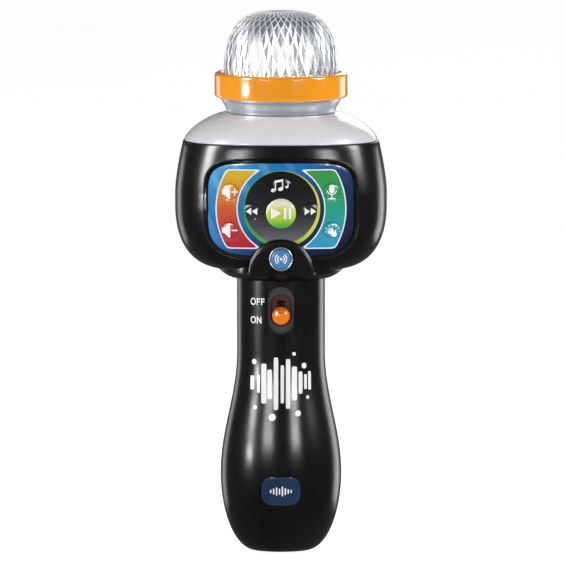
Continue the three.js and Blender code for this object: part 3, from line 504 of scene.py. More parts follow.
def flakePaint(name, colour, roughness, metallic, flake, coat):  # silver or pearl with fine flakes
    material = newFinish(name)
    base = tone(colour)
    cells = {"Vector": place(), "Scale": 4200}
    flakes = Wire.node("ShaderNodeTexVoronoi", {"feature": "F1"}, cells, out="Color")
    spread = Wire.node("ShaderNodeSeparateColor", None, {"Color": flakes})
    bright = faded(base, 1 + flake)
    dark = faded(base, 1 - flake)
    drift = noise(14, 3, 0.5)
    gloss = roughness * (0.85 + 0.3 * drift)
    inputs = {"Base Color": mixed(spread, dark, bright), "Metallic": metallic, "Roughness": gloss,
              "Coat Weight": coat, "Coat Roughness": 0.08, "Normal": bump(spread, 0.00001, 0.35)}
    return surface(material, inputs)


gloss = plastic("glossBlack", "#08080a", 0.22, ior=1.42, vary=0.25)
hatchBlack = plastic("hatchBlack", "#0e0e10", 0.3, ior=1.4, vary=0.25, speck=0.3)
trayBlack = plastic("trayBlack", "#1b1b1d", 0.5, speck=0.5)
ringOrange = plastic("ringOrange", "#f39a10", 0.16, coat=0.4, vary=0.04)
switchOrange = plastic("switchOrange", "#f57c18", 0.14, coat=0.3, vary=0.05)
pearlSilver = flakePaint("pearlSilver", "#eaebef", 0.26, 0.08, 0.06, 0.6)
satinSilver = flakePaint("satinSilver", "#b4b9bf", 0.32, 0.45, 0.1, 0.1)
bezelSilver = flakePaint("bezelSilver", "#c4c8cf", 0.22, 0.6, 0.1, 0.4)
printWhite = plastic("printWhite", "#f4f4f4", 0.35, vary=0.03, peel=0.1)
pairingBlue = plastic("pairingBlue", "#3f84c0", 0.25, coat=0.3, vary=0.08)
badgeNavy = plastic("badgeNavy", "#16304f", 0.22, coat=0.4, vary=0.12)
steelFinish = metal("steelFinish", "#b9bcc0", 0.3)
magnetFinish = metal("magnetFinish", "#3a3a3c", 0.6, 0.4)
capsuleFinish = metal("capsuleFinish", "#c8cacd", 0.34, brushed=(1, 1, 0.05))
bootRubber = plastic("bootRubber", "#202022", 0.75, speck=0.7, peel=0.1)
redLead = plastic("redLead", "#b02020", 0.45)
yellowLead = plastic("yellowLead", "#d8b020", 0.45)
lampLens = plastic("lampLens", "#e8ecf0", 0.12, coat=0.3, vary=0.03, glow=0.15)

print("handle")

handle = dict(baseRadius=12.0, bulgeHeight=36.0, gripStart=92.0, gripRadius=20.3, wall=2.2, floor=3.0,
              neckStep=1.8, neckRise=2.5, rows=110, columns=130)
handle["bulgeRadius"] = corners("handle_front_shell")[1].x


def handleRadius(z):
    if z <= handle["bulgeHeight"]:
        up = 1 - max(z, 0) / handle["bulgeHeight"]
        return handle["baseRadius"] + (handle["bulgeRadius"] - handle["baseRadius"]) * math.sqrt(1 - up * up)
    waist = min((z - handle["bulgeHeight"]) / (handle["gripStart"] - handle["bulgeHeight"]), 1)
    swell = (handle["bulgeRadius"] - handle["gripRadius"]) * (0.5 + 0.5 * math.cos(math.pi * waist))
    return handle["gripRadius"] + swell


def onGrip(u, z, proud):  # u runs round the handle from its front line
    radius = handleRadius(z)
    turn = u / radius
    return ((radius + proud) * math.sin(turn), -(radius + proud) * math.cos(turn), z)


def onHandle(side):  # drawn straight on from the front or from the rear
    def carried(x, z, proud):
        radius = handleRadius(z) + proud
        return (x, side * math.sqrt(max(radius * radius - x * x, 0)), z)
    return carried


def handleLevels(inset):
    bottom = handle["floor"] if inset else 0.0
    foot = handle["baseRadius"] * 0.6 - inset / 2
    levels = [(bottom, 0.4, 0.4, 2), (bottom, foot, foot, 2)]
    for i in range(handle["rows"] + 1):
        share = i / handle["rows"]
        if share < 0.5:  # levels are closer together where the bulge turns in to the base
            z = handle["bulgeHeight"] * (2 * share) ** 2
        else:
            z = handle["bulgeHeight"] + (handleTop - handle["bulgeHeight"]) * (share - 0.5) * 2
        radius = handleRadius(z) - inset
        levels.append((max(z, bottom), radius, radius, 2))
    neck = handle["gripRadius"] - handle["neckStep"] - inset
    levels.append((handleTop - inset, neck, neck, 2))
    levels.append((headBase + handle["neckRise"], neck, neck, 2))
    return levels


def stadium(halfWide, halfHigh, level, count=24):
    straight = halfHigh - halfWide
    top = arcLine(0, level + straight, halfWide, 0, 180, count)
    return top + arcLine(0, level - straight, halfWide, 180, 360, count)


knobLow, knobHigh = corners("switch_knob")
knobRadius = (knobHigh.x - knobLow.x) / 2
knobLevel = (knobLow.z + knobHigh.z) / 2
switchBay = dict(travel=5.0, recessHalfWide=6.1, recessHalfHigh=10.9, slotHalfWide=4.8, slotHalfHigh=7.3,
                 recessDepth=2.0, slotDepth=3.7, backDepth=5.3, stemHalf=1.5, flare=0.5,
                 boxHalfWide=7.6, boxHalfHigh=12.2, boxFront=0.9, boxFloor=0.6)
slotLevel = knobLevel + switchBay["travel"] / 2
gripFront = -handle["gripRadius"]
badgeForm = dict(halfWide=9.0, halfHigh=6.7, n=3.4, proud=0.25, thick=0.8)
badgeLow, badgeHigh = corners("badge")
badgeLevel = (badgeLow.z + badgeHigh.z) / 2

handleFront = halfShell("handle_front", handleLevels(0), handleLevels(handle["wall"]), -1, handle["columns"])
pocket = block("pocket", -switchBay["boxHalfWide"], switchBay["boxHalfWide"],
               gripFront + switchBay["boxFront"], gripFront + switchBay["backDepth"] + switchBay["boxFloor"],
               slotLevel - switchBay["boxHalfHigh"], slotLevel + switchBay["boxHalfHigh"])
recess = prism("recess", stadium(switchBay["recessHalfWide"], switchBay["recessHalfHigh"], slotLevel),
               gripFront - 3, gripFront + switchBay["recessDepth"], switchBay["flare"])
slot = prism("slot", stadium(switchBay["slotHalfWide"], switchBay["slotHalfHigh"], slotLevel),
             gripFront - 3, gripFront + switchBay["slotDepth"], switchBay["flare"] / 2)
stemGap = switchBay["stemHalf"] + fit
slit = block("slit", -stemGap, stemGap, gripFront, gripFront + switchBay["backDepth"] + 3,
             slotLevel - switchBay["travel"] / 2 - stemGap, slotLevel + switchBay["travel"] / 2 + stemGap)
badgeShape = ellipse(0, badgeLevel, badgeForm["halfWide"], badgeForm["halfHigh"], badgeForm["n"], 72)
badgeRoom = ellipse(0, badgeLevel, badgeForm["halfWide"] + fit, badgeForm["halfHigh"] + fit,
                    badgeForm["n"], 72)
badgePocket = plate("badgePocket", [badgeRoom], onHandle(-1), 1.0,
                    -badgeForm["thick"] + badgeForm["proud"] - fit)
combine(handleFront, [pocket], "UNION")
combine(handleFront, [recess, slot, slit, badgePocket])
stand(handleFront, "housing", gloss, "shell_black", "handle_front_shell")

screwForm = dict(shank=1.3, head=2.7, headHigh=1.8, tip=-10.0, pitch=0.7, cross=1.5, crossWide=0.5,
                 sink=3.0, bore=1.6, post=4.2, handleSeat=9.0, headSeat=12.0, far=60)


def screwPiece(name, x, z, seat, tip, headHigh, body, node):  # pan head with a cross slot, from the rear
    shank, head, pitch = screwForm["shank"], screwForm["head"], screwForm["pitch"]
    crest, floor = seat + headHigh, seat + headHigh - headHigh * 0.65
    profile = [(0, tip), (shank * 0.55, tip), (shank * 0.8, tip + 0.8)]
    for i in range(int((seat - tip - 1.2) / pitch)):
        y = tip + 1.0 + i * pitch
        profile += [(shank * 0.78, y), (shank, y + 0.3)]
    profile += [(shank, seat), (head - 0.15, seat), (head, seat + 0.2)]
    for i in range(1, 7):
        turn = math.pi / 2 * i / 6
        radius = head * math.cos(turn) ** 0.7 if i < 6 else 0
        profile.append((radius, seat + 0.2 + (headHigh - 0.2) * math.sin(turn)))
    piece = turnedAcross(name, profile, x, z, 40)
    arm, half = screwForm["cross"], screwForm["crossWide"] / 2
    tools = []
    for wide, high in ((arm, half), (half, arm)):
        tools.append(block("cross", x - wide, x + wide, floor, crest + 1, z - high, z + high))
    combine(piece, tools)
    return stand(piece, body, steelFinish, "steel", node)


def middleOf(node):
    low, high = corners(node)
    return (low.x + high.x) / 2, (low.z + high.z) / 2


def rod(name, radius, front, back, x, z, sides=48):
    return turnedAcross(name, [(0, front), (radius, front), (radius, back), (0, back)], x, z, sides)


print("rear of the handle and battery door")

door = dict(halfWide=14.5, low=13.3, high=69.0, corner=4.0, wall=2.2, tabOut=7, tabHalf=2, tabDeep=1.6,
            tabReach=2.6, tabRise=2, ribs=5, ribPitch=2.4, ribDrop=14)


def doorShape(grow):
    side, corner = door["halfWide"] + grow, door["corner"]
    low, high = door["low"] - grow, door["high"] + grow
    line = [(-side, low), (side, low)]
    line += arcLine(side - corner, high - corner, corner, 0, 90, 10)
    line += arcLine(-side + corner, high - corner, corner, 90, 180, 10)
    return line


handleRear = halfShell("handle_rear", handleLevels(0), handleLevels(handle["wall"]), 1, handle["columns"])
doorGap = prism("doorGap", doorShape(fit), 2.2, handle["bulgeRadius"] + 5)
handleScrews = [middleOf("handle_screw_1"), middleOf("handle_screw_2")]
posts = [rod("post", screwForm["post"], fit / 2, handle["gripRadius"] - 0.6, x, z) for x, z in handleScrews]
sinks = [rod("sink", screwForm["sink"], screwForm["handleSeat"] - fit, screwForm["far"], x, z)
         for x, z in handleScrews]
combine(handleRear, posts, "UNION")
combine(handleRear, [doorGap] + sinks)
stand(handleRear, "housing", gloss, "shell_black", "handle_rear_shell")
for i, (x, z) in enumerate(handleScrews):
    screwPiece(f"handle_screw_{i + 1}_detail", x, z, screwForm["handleSeat"], screwForm["tip"],
               screwForm["headHigh"], "housing", f"handle_screw_{i + 1}")

doorScrewX, doorScrewLevel = middleOf("battery_door_screw")
doorScrewSeat = corners("battery_door_screw")[1].y - 1.1
hatch = plate("battery_hatch_cover", [doorShape(0)], onHandle(1), 0.0, -door["wall"], spacing=1.6)
pad = rod("pad", screwForm["post"], doorScrewSeat - 2.4, doorScrewSeat + 1.4, doorScrewX, doorScrewLevel)
tabs = []
tabLow = corners("battery_door")[0]
tabBack = handleRadius(door["low"]) - door["tabReach"]
for x in (-door["tabOut"], door["tabOut"]):  # a tongue under the shell's edge and an arm back to the door
    left, right, top = x - door["tabHalf"], x + door["tabHalf"], door["low"] + door["tabRise"]
    tabs.append(block("tab", left, right, tabLow.y, tabLow.y + door["tabDeep"], tabLow.z, top))
    tabs.append(block("tab", left, right, tabLow.y, tabBack, door["low"] + 0.4, top))
combine(hatch, [pad], "UNION")
doorSink = rod("sink", screwForm["sink"], doorScrewSeat - fit, screwForm["far"], doorScrewX, doorScrewLevel)
doorBore = rod("bore", screwForm["bore"], 0, screwForm["far"], doorScrewX, doorScrewLevel)
combine(hatch, [doorSink, doorBore])
grip = []
for i in range(door["ribs"]):
    rise = door["high"] - door["ribDrop"] - door["ribPitch"] * i
    wide = 5.5 + 0.7 * i
    chevron = stroke([(-wide, rise), (0, rise - 1.2), (wide, rise)], 0.9)
    grip.append(plate("rib", chevron, onHandle(1), 0.35, -0.6, spacing=0.8, soften=0.15))
joined(hatch, tabs + grip)
stand(hatch, "battery_hatch", hatchBlack, "hatch_black", "battery_door")
screwPiece("battery_hatch_screw", doorScrewX, doorScrewLevel, doorScrewSeat, doorScrewSeat - 7.0, 1.1,
           "battery_hatch", "battery_door_screw")

print("neck and head")

flangeLow, flangeHigh = corners("neck_flange")
flange = dict(radius=flangeHigh.x, hole=18.8, foot=21.1, lip=0.9, round=0.8)
dish = [(flange["hole"], flangeLow.z), (flange["foot"], flangeLow.z)]
for i in range(1, 15):
    share = i / 14
    dish.append((flange["foot"] + (flange["radius"] - flange["foot"]) * share ** 0.82,
                 flangeLow.z + (flangeHigh.z - flangeLow.z - flange["lip"]) * share ** 1.5))
for i in range(1, 7):
    turn = math.pi / 2 * i / 6
    dish.append((flange["radius"] - flange["round"] + flange["round"] * math.cos(turn),
                 flangeHigh.z - flange["round"] + flange["round"] * math.sin(turn)))
dish.append((flange["hole"], flangeHigh.z))
stand(turned("neck_dish", dish), "housing", gloss, "shell_black", "neck_flange")

head = dict(wall=2.4, beltRise=29.4, beltHigh=6, bottomWide=27.0, bottomRise=7.0, sideTurn=2.3, faceTurn=3.2,
            narrowing=3.7, shallowing=2.0, closeTurn=1.45, round=0.5, lowRows=34, highRows=26, columns=150)
head["halfWide"] = corners("head_rear_shell")[1].x
head["halfDeep"] = corners("head_rear_shell")[1].y
head["bottomDeep"] = head["halfDeep"] - head["bottomRise"]
headHigh = headTop - headBase


def quarter(share, sharpness):  # from 0 to 1 along a rounded corner; 2 is an ellipse
    return (1 - (1 - share) ** sharpness) ** (1 / sharpness)


def headLevel(z, inset=0.0):
    up = min(max((z - headBase) / head["beltRise"], 0), 1)
    above = z - headBase - head["beltRise"] - head["beltHigh"]
    over = max(above / (headHigh - head["beltRise"] - head["beltHigh"]), 0)
    wide = head["bottomWide"] + (head["halfWide"] - head["bottomWide"]) * quarter(up, head["sideTurn"])
    deep = head["bottomDeep"] + (head["halfDeep"] - head["bottomDeep"]) * quarter(up, head["faceTurn"])
    wide -= head["narrowing"] * over ** head["closeTurn"]
    deep -= head["shallowing"] * over ** head["closeTurn"]
    return (z, wide - inset, deep - inset, 2.1 + 0.7 * up ** 0.4 - 0.25 * over)


def headSides(side):
    outer, inner = [], []
    neck = flange["hole"]
    floor = headBase + head["wall"]
    for radius in (neck, neck + 4):
        outer.append((headBase, radius, radius, 2))
        inner.append((floor, radius, radius, 2))
    count, more = head["lowRows"], head["highRows"]
    rises = [(i / count) ** 2 * head["beltRise"] for i in range(count + 1)]
    rises += [head["beltRise"] + (headHigh - head["beltRise"]) * i / more for i in range(1, more)]
    for rise in rises:
        outer.append(headLevel(headBase + rise))
        z, w, d, n = headLevel(headBase + rise, head["wall"])
        inner.append((max(z, floor), w, d, n))
    z, w, d, n = headLevel(headTop)
    r = head["round"]
    for i in range(5):  # the rim at the seam is rounded over
        c, s = math.cos(math.pi / 2 * i / 4), math.sin(math.pi / 2 * i / 4)
        outer.append((z - r + r * s, w - r + r * c, d - r + r * c, n))
        inner.append((z - r + r * s, w - head["wall"], d - head["wall"], n))
    return halfShell("head_front" if side < 0 else "head_rear", outer, inner, side, head["columns"])


panel = dict(halfWide=33.6, halfHigh=21.5, topSquare=5.4, lowSquare=3.7, bow=112.0, thick=1.8)
arch = dict(radius=15.5, drop=29.1, face=38.0, back=30.0, edge=1.8, crown=0.25, spread=7.0)
archLevel = panelLevel - arch["drop"]


def bow(x):  # how far the panel has curved back at x
    return x * x / (2 * panel["bow"])


def onPanel(x, z, proud):
    return (x, bow(x) - panelFace - proud, z)


def panelOutline(grow=0.0, count=240):
    fine = []
    for i in range(6 * count):
        turn = 2 * math.pi * i / (6 * count)
        n = panel["topSquare"] if math.sin(turn) > 0 else panel["lowSquare"]
        fine.append(((panel["halfWide"] + grow) * power(math.cos(turn), 2 / n),
                     panelLevel + (panel["halfHigh"] + grow) * power(math.sin(turn), 2 / n)))
    return evenly(fine, count, closed=True)


def sweep(name, line, profile):  # a profile of outward and proud distances carried round a closed line
    rows = []
    for i, p in enumerate(line):
        a, b = Vector(line[i - 1]), Vector(line[(i + 1) % len(line)])
        way = (b - a).normalized()
        out = Vector((way.y, -way.x))
        rows.append([onPanel(p[0] + out.x * o, p[1] + out.y * o, h) for o, h in profile])
    return newMesh(name, flat(rows), skinFaces(rows, along=True))


headFront = headSides(-1)
window = prism("window", panelOutline(0.9, 120), -60, -20)
combine(headFront, [window])
rimProfile = [(0.3, -4.2), (0.3, 0.0), (0.36, 0.16), (0.6, 0.24), (1.1, 0.38), (1.55, 0.54), (1.85, 0.68),
              (2.02, 0.74), (2.16, 0.7), (2.26, 0.56), (2.36, 0.2), (2.5, -0.6), (2.7, -4.2)]
rim = sweep("rim", panelOutline(), rimProfile)
ledge = sweep("ledge", panelOutline(), [(-1.5, -4.1), (-1.5, -2.1), (0.8, -2.1), (0.8, -4.1)])
bossProfile = [(0, -arch["face"]), (arch["radius"] - 4, -arch["face"] + 0.1)]
for i in range(9):
    turn = math.pi / 2 * i / 8
    bossProfile.append((arch["radius"] - arch["edge"] * (1 - math.sin(turn)),
                        -arch["face"] + arch["crown"] + arch["edge"] * (1 - math.cos(turn))))
fall = arch["face"] - arch["back"] - arch["edge"] - arch["crown"]
for i in range(1, 11):  # the boss runs out into the head in a wide hollow curve
    share = i / 10
    bossProfile.append((arch["radius"] + arch["spread"] * share ** 2.2,
                        -arch["face"] + arch["crown"] + arch["edge"] + fall * share))
bossProfile.append((0, -arch["back"]))
boss = turnedAcross("boss", bossProfile, 0, archLevel, 160)
combine(boss, [block("under", -40, 40, -60, 0, 0, headBase - 0.6)])
archRoom = rod("archRoom", arch["radius"] - 0.2, -60, 0, 0, archLevel, 120)
combine(rim, [archRoom])
archRoom = rod("archRoom", arch["radius"] + fit, -60, 0, 0, archLevel, 120)
combine(ledge, [archRoom])
combine(headFront, [rim, boss], "UNION")
joined(headFront, [ledge])
bezelOuter = (pairingHigh.x - pairingLow.x) / 2
combine(headFront, [rod("buttonHole", bezelOuter + fit, -60, -29, 0, pairingLevel)])
stand(headFront, "housing", gloss, "shell_black", "head_front_shell")

print("rear of the head")

speaker = dict(radius=20.0, grille=16.5, pitch=4.4, slot=0.9, cupWall=2.2, cupFront=6, cupBack=4.2)
speakerFace = corners("speaker_frame")[1].y
headRear = headSides(1)
cupBore, cupOut = speaker["radius"] + fit, speaker["radius"] + speaker["cupWall"]
cupLow, cupHigh = speakerFace - speaker["cupFront"], speakerFace + speaker["cupBack"]
cup = turnedAcross("cup", [(cupBore, cupLow), (cupOut, cupLow), (cupOut, cupHigh), (cupBore, cupHigh)],
                   0, panelLevel, 80)
headScrews = [middleOf(f"head_screw_{i}") for i in range(1, 5)]
combine(headRear, [rod("sink", screwForm["sink"], screwForm["headSeat"] - fit, screwForm["far"], x, z)
                   for x, z in headScrews])
slots = []
for row in range(-3, 4):
    rise = row * speaker["pitch"]
    half = math.sqrt(speaker["grille"] ** 2 - rise ** 2)
    line = arcLine(half - speaker["slot"], panelLevel + rise, speaker["slot"], -90, 90, 8)
    line += arcLine(-half + speaker["slot"], panelLevel + rise, speaker["slot"], 90, 270, 8)
    slots.append(prism("slot", line, speakerFace + 0.6, 60, 0.25))
combine(headRear, slots)
posts = []
for x, z in headScrews:
    tube = [(screwForm["sink"], fit / 2), (screwForm["post"], fit / 2), (screwForm["post"], 20),
            (screwForm["sink"], 20)]
    posts.append(turnedAcross("post", tube, x, z, 48))
joined(headRear, [cup] + posts)
stand(headRear, "housing", gloss, "shell_black", "head_rear_shell")
for i, (x, z) in enumerate(headScrews):
    screwPiece(f"head_screw_{i + 1}_detail", x, z, screwForm["headSeat"], screwForm["tip"],
               screwForm["headHigh"], "housing", f"head_screw_{i + 1}")

print("shoulder, collar and ring")

shoulder = dict(high=shoulderTop - headTop - fit, wall=2.0, inset=0.6, endRadius=26.3, hole=22.3,
                crownTurn=1.45, sideTurn=0.72, round=0.45, skirtDrop=3.5, skirtWall=1.6)
edgeLevel = headLevel(headTop)


def shoulderLevel(share, inset=0.0):
    closing = (1 - share ** shoulder["crownTurn"]) ** shoulder["sideTurn"]
    end = shoulder["endRadius"]
    wide = end + (edgeLevel[1] - shoulder["inset"] - end) * closing
    deep = end - 0.4 + (edgeLevel[2] - shoulder["inset"] - end + 0.4) * closing
    z = headTop + fit + share * shoulder["high"]
    return (z, wide - inset, deep - inset, edgeLevel[3] + (2 - edgeLevel[3]) * share)


levels = []
first = shoulderLevel(0)
skirt = headLevel(headTop, head["wall"] + fit)
levels.append((headTop - shoulder["skirtDrop"], skirt[1], skirt[2], skirt[3]))
levels.append((first[0], skirt[1], skirt[2], skirt[3]))
for i in range(5):
    turn = math.pi / 2 * i / 4
    back = shoulder["round"] * (1 - math.sin(turn))
    up = shoulder["round"] * (1 - math.cos(turn))
    levels.append((first[0] + up, first[1] - back, first[2] - back, first[3]))
for i in range(1, 41):
    share = 1 - (1 - i / 40) ** 1.6
    if shoulderLevel(share)[0] > first[0] + 0.5:
        levels.append(shoulderLevel(share))
levels.append((shoulderTop, shoulder["hole"], shoulder["hole"], 2))
levels.append((shoulderTop - shoulder["wall"], shoulder["hole"], shoulder["hole"], 2))
for i in range(9, -1, -1):
    z, w, d, n = shoulderLevel(i / 10, shoulder["wall"])
    levels.append((z - shoulder["wall"] * i / 10, w, d, n))
levels.append((headTop - shoulder["skirtDrop"], skirt[1] - shoulder["skirtWall"],
               skirt[2] - shoulder["skirtWall"], skirt[3]))
rows = [fullOutline(level, 220) for level in levels]
cover = newMesh("shoulder_cap", flat(rows), skinFaces(rows, along=True), sharpAngle=50)
stand(cover, "housing", pearlSilver, "pearl_silver", "shoulder_cover")

collarLow, collarHigh = corners("collar")
collar = dict(base=25.3, top=collarHigh.x, high=ringBase - collarBase, footWall=3.3, rimWall=2.3, seat=4.1,
              boreStep=5.5)
foot, top = collar["base"], collar["top"]
flare = [(foot - collar["footWall"], collarLow.z), (foot - collar["footWall"], collarBase),
         (foot - 0.5, collarBase), (foot - 0.15, collarBase + 0.1), (foot, collarBase + 0.5)]
for i in range(1, 21):
    share = i / 20
    flare.append((foot + (top - foot) * (0.5 - 0.5 * math.cos(math.pi * share ** 1.1)),
                  collarBase + 0.5 + (collar["high"] - 0.8) * share))
flare += [(top, collarHigh.z), (top - collar["rimWall"], collarHigh.z),
          (top - collar["rimWall"], ringBase + 2.4), (top - collar["seat"], ringBase + 2.4),
          (foot - collar["boreStep"], collarBase + 1),
          (foot - collar["boreStep"], collarLow.z)]
stand(turned("collar_cup", flare, 200), "housing", satinSilver, "satin_silver", "collar")

ring = dict(radius=corners("accent_ring")[1].x, round=1.5, bore=27.1, boreRound=0.7, lip=1.5, inner=28.6)
band = [(collar["top"] + fit, ringBase)]
for centre, start in ((ringBase + ring["round"], -90), (ringTop - ring["round"], 0)):
    for i in range(11):
        turn = math.radians(start + 9 * i)
        band.append((ring["radius"] - ring["round"] + ring["round"] * math.cos(turn),
                     centre + ring["round"] * math.sin(turn)))
for i in range(7):
    turn = math.radians(90 + 15 * i)
    band.append((ring["bore"] + ring["boreRound"] + ring["boreRound"] * math.cos(turn),
                 ringTop - ring["boreRound"] + ring["boreRound"] * math.sin(turn)))
band += [(ring["bore"], ringTop - ring["lip"]), (ring["inner"], ringTop - ring["lip"]),
         (ring["inner"], collarHigh.z), (collar["top"] + fit, collarHigh.z)]
stand(turned("clamp_ring", band, 220), "housing", ringOrange, "ring_orange", "accent_ring")

print("dome")

dome = dict(radius=26.8, wall=1.6, columns=40, ridge=0.15, lip=0.16, sink=0.3, flange=28.3, flangeHigh=1.4,
            sideTurn=0.52, crownTurn=0.92,
            turns=(0.0, 0.184, 0.44, 0.637, 0.86, 1.03, 1.17, 1.29, 1.385, 1.455, 1.505))
domeBase = corners("grille_dome")[0].z + dome["flangeHigh"]
domeHigh = domeTop - domeBase
domeHeart = Vector((0, 0, domeBase + 6))


def domeSpot(turn, column, inset=0.0):
    angle = 2 * math.pi * column / dome["columns"]
    out = (dome["radius"] - inset) * max(math.cos(turn), 0) ** dome["sideTurn"]
    rise = (domeHigh - inset) * math.sin(turn) ** dome["crownTurn"]
    return Vector((out * math.cos(angle), out * math.sin(angle), domeBase + rise))


def facet(points, faces, loop):  # a face with a raised border and a middle that sinks to a point
    middle = sum((points[k] for k in loop), Vector()) / len(loop)
    inward = (domeHeart - middle).normalized()
    span = sum((points[k] - middle).length for k in loop) / len(loop)
    inner = []
    for k in loop:
        inner.append(len(points))
        points.append(points[k].lerp(middle, dome["ridge"]) + inward * dome["lip"])
    heart = len(points)
    points.append(middle + inward * (dome["lip"] + min(dome["sink"], 0.16 * span)))
    count = len(loop)
    for i in range(count):
        j = (i + 1) % count
        ridges.append(len(faces))
        faces.append((loop[i], loop[j], inner[j], inner[i]))
        faces.append((inner[i], inner[j], heart))


points, faces, ridges = [], [], []
lattice = []
for i, turn in enumerate(dome["turns"]):
    lattice.append([])
    for j in range(dome["columns"]):
        lattice[i].append(len(points))
        points.append(domeSpot(turn, j + (0.5 if i % 2 else 0)))
last = len(dome["turns"]) - 1
for i in range(last + 1):
    for j in range(dome["columns"]):
        after = (j + 1) % dome["columns"]
        before = (j - 1) % dome["columns"]
        left, right = (j, after) if i % 2 else (before, j)
        if i == 0:
            facet(points, faces, [lattice[0][j], lattice[0][after], lattice[1][j]])
        if i <= last - 2:
            facet(points, faces, [lattice[i][j], lattice[i + 1][right], lattice[i + 2][j],
                                  lattice[i + 1][left]])
        if i == last - 1:
            facet(points, faces, [lattice[i][j], lattice[last][right], lattice[last][left]])
crown = len(points)
points.append(Vector((0, 0, domeTop)))
for j in range(dome["columns"]):
    faces.append((lattice[last][j], lattice[last][(j + 1) % dome["columns"]], crown))
turns = [2 * math.pi * j / dome["columns"] for j in range(dome["columns"])]
rows = [[points[k] for k in lattice[0]]]
domeFoot = domeBase - dome["flangeHigh"]
domeBore = dome["radius"] - dome["wall"]
for radius, z in ((dome["flange"], domeBase), (dome["flange"], domeFoot), (domeBore, domeFoot)):
    rows.append([(radius * math.cos(t), radius * math.sin(t), z) for t in turns])
for i in range(15):
    rows.append([domeSpot(1.54 * i / 14, j, dome["wall"]) for j in range(dome["columns"])])
rows.append([(0, 0, domeTop - dome["wall"])])
faces += skinFaces(rows, start=len(points))
points += flat(rows)
domePiece = newMesh("clear_dome", points, faces, sharpAngle=9)


def clear(name, colour, alpha, roughness, metallic):  # clear plastic with a silvered back and a little haze
    material = newFinish(name)
    haze = noise(30, 4, 0.6)
    inputs = {"Base Color": mixed(haze.rise(0.3, 0.7), tone(colour), tone("#ffffff")),
              "Roughness": roughness + 0.05 * haze, "Metallic": metallic, "IOR": 1.5,
              "Alpha": alpha + 0.08 * haze, "Normal": bump(noise(500, 2, 0.5), 0.00002, 0.4)}
    return surface(material, inputs)


domeClear = clear("domeClear", "#a9b2bb", 0.7, 0.24, 0.75)
# the dome's ridges are white: a painted highlight along the clear ridges
domeRidgeHighlight = clear("domeRidgeHighlight", "#f4f6f9", 0.8, 0.2, 0.0)
stand(domePiece, "housing", domeClear, "dome_clear", "grille_dome")
domePiece.data.materials.append(domeRidgeHighlight)
for k in ridges:
    domePiece.data.polygons[k].material_index = 1

shade = dict(gap=2.1, wall=1.0, foot=24.6)
shadeLow, shadeHigh = corners("dome_shade")
cup = [(0, shadeHigh.z)]
outward = []
for i in range(30):
    turn = 1.55 * i / 29
    outward.append(((dome["radius"] - shade["gap"]) * math.cos(turn) ** dome["sideTurn"],
                    domeBase + (shadeHigh.z - domeBase) * math.sin(turn) ** dome["crownTurn"]))
cup += outward[::-1] + [(shade["foot"], shadeLow.z), (shade["foot"] - shade["wall"], shadeLow.z)]
cup += [(max(r - shade["wall"], 0.5), z - (shade["wall"] if r < 20 else 0.4)) for r, z in outward]
cup += [(0, shadeHigh.z - shade["wall"])]
shadeSilver = metal("shadeSilver", "#a4adb6", 0.26, 1.0, wear=0.06)
stand(turned("silver_shade", cup, 120), "housing", shadeSilver, "shade_silver", "dome_shade")

print("key panel")

# Print on the panel, with a painted highlight on the play key: coordinates are millimetres from the panel's
# centre, colours run in soft blends.
artwork = dict(ringX=0.3, ringZ=0.45, ringRadius=17.8, discX=0.1, discZ=1.25, discRadius=16.75,
               padInner=20.2, padOuter=35.4, padOuterX=5.2, padTop=18.8, padLow=-18.0, corner=2.2,
               playX=0.05, playZ=-1.6, playRadius=6.95, border=0.55, soft=0.07)


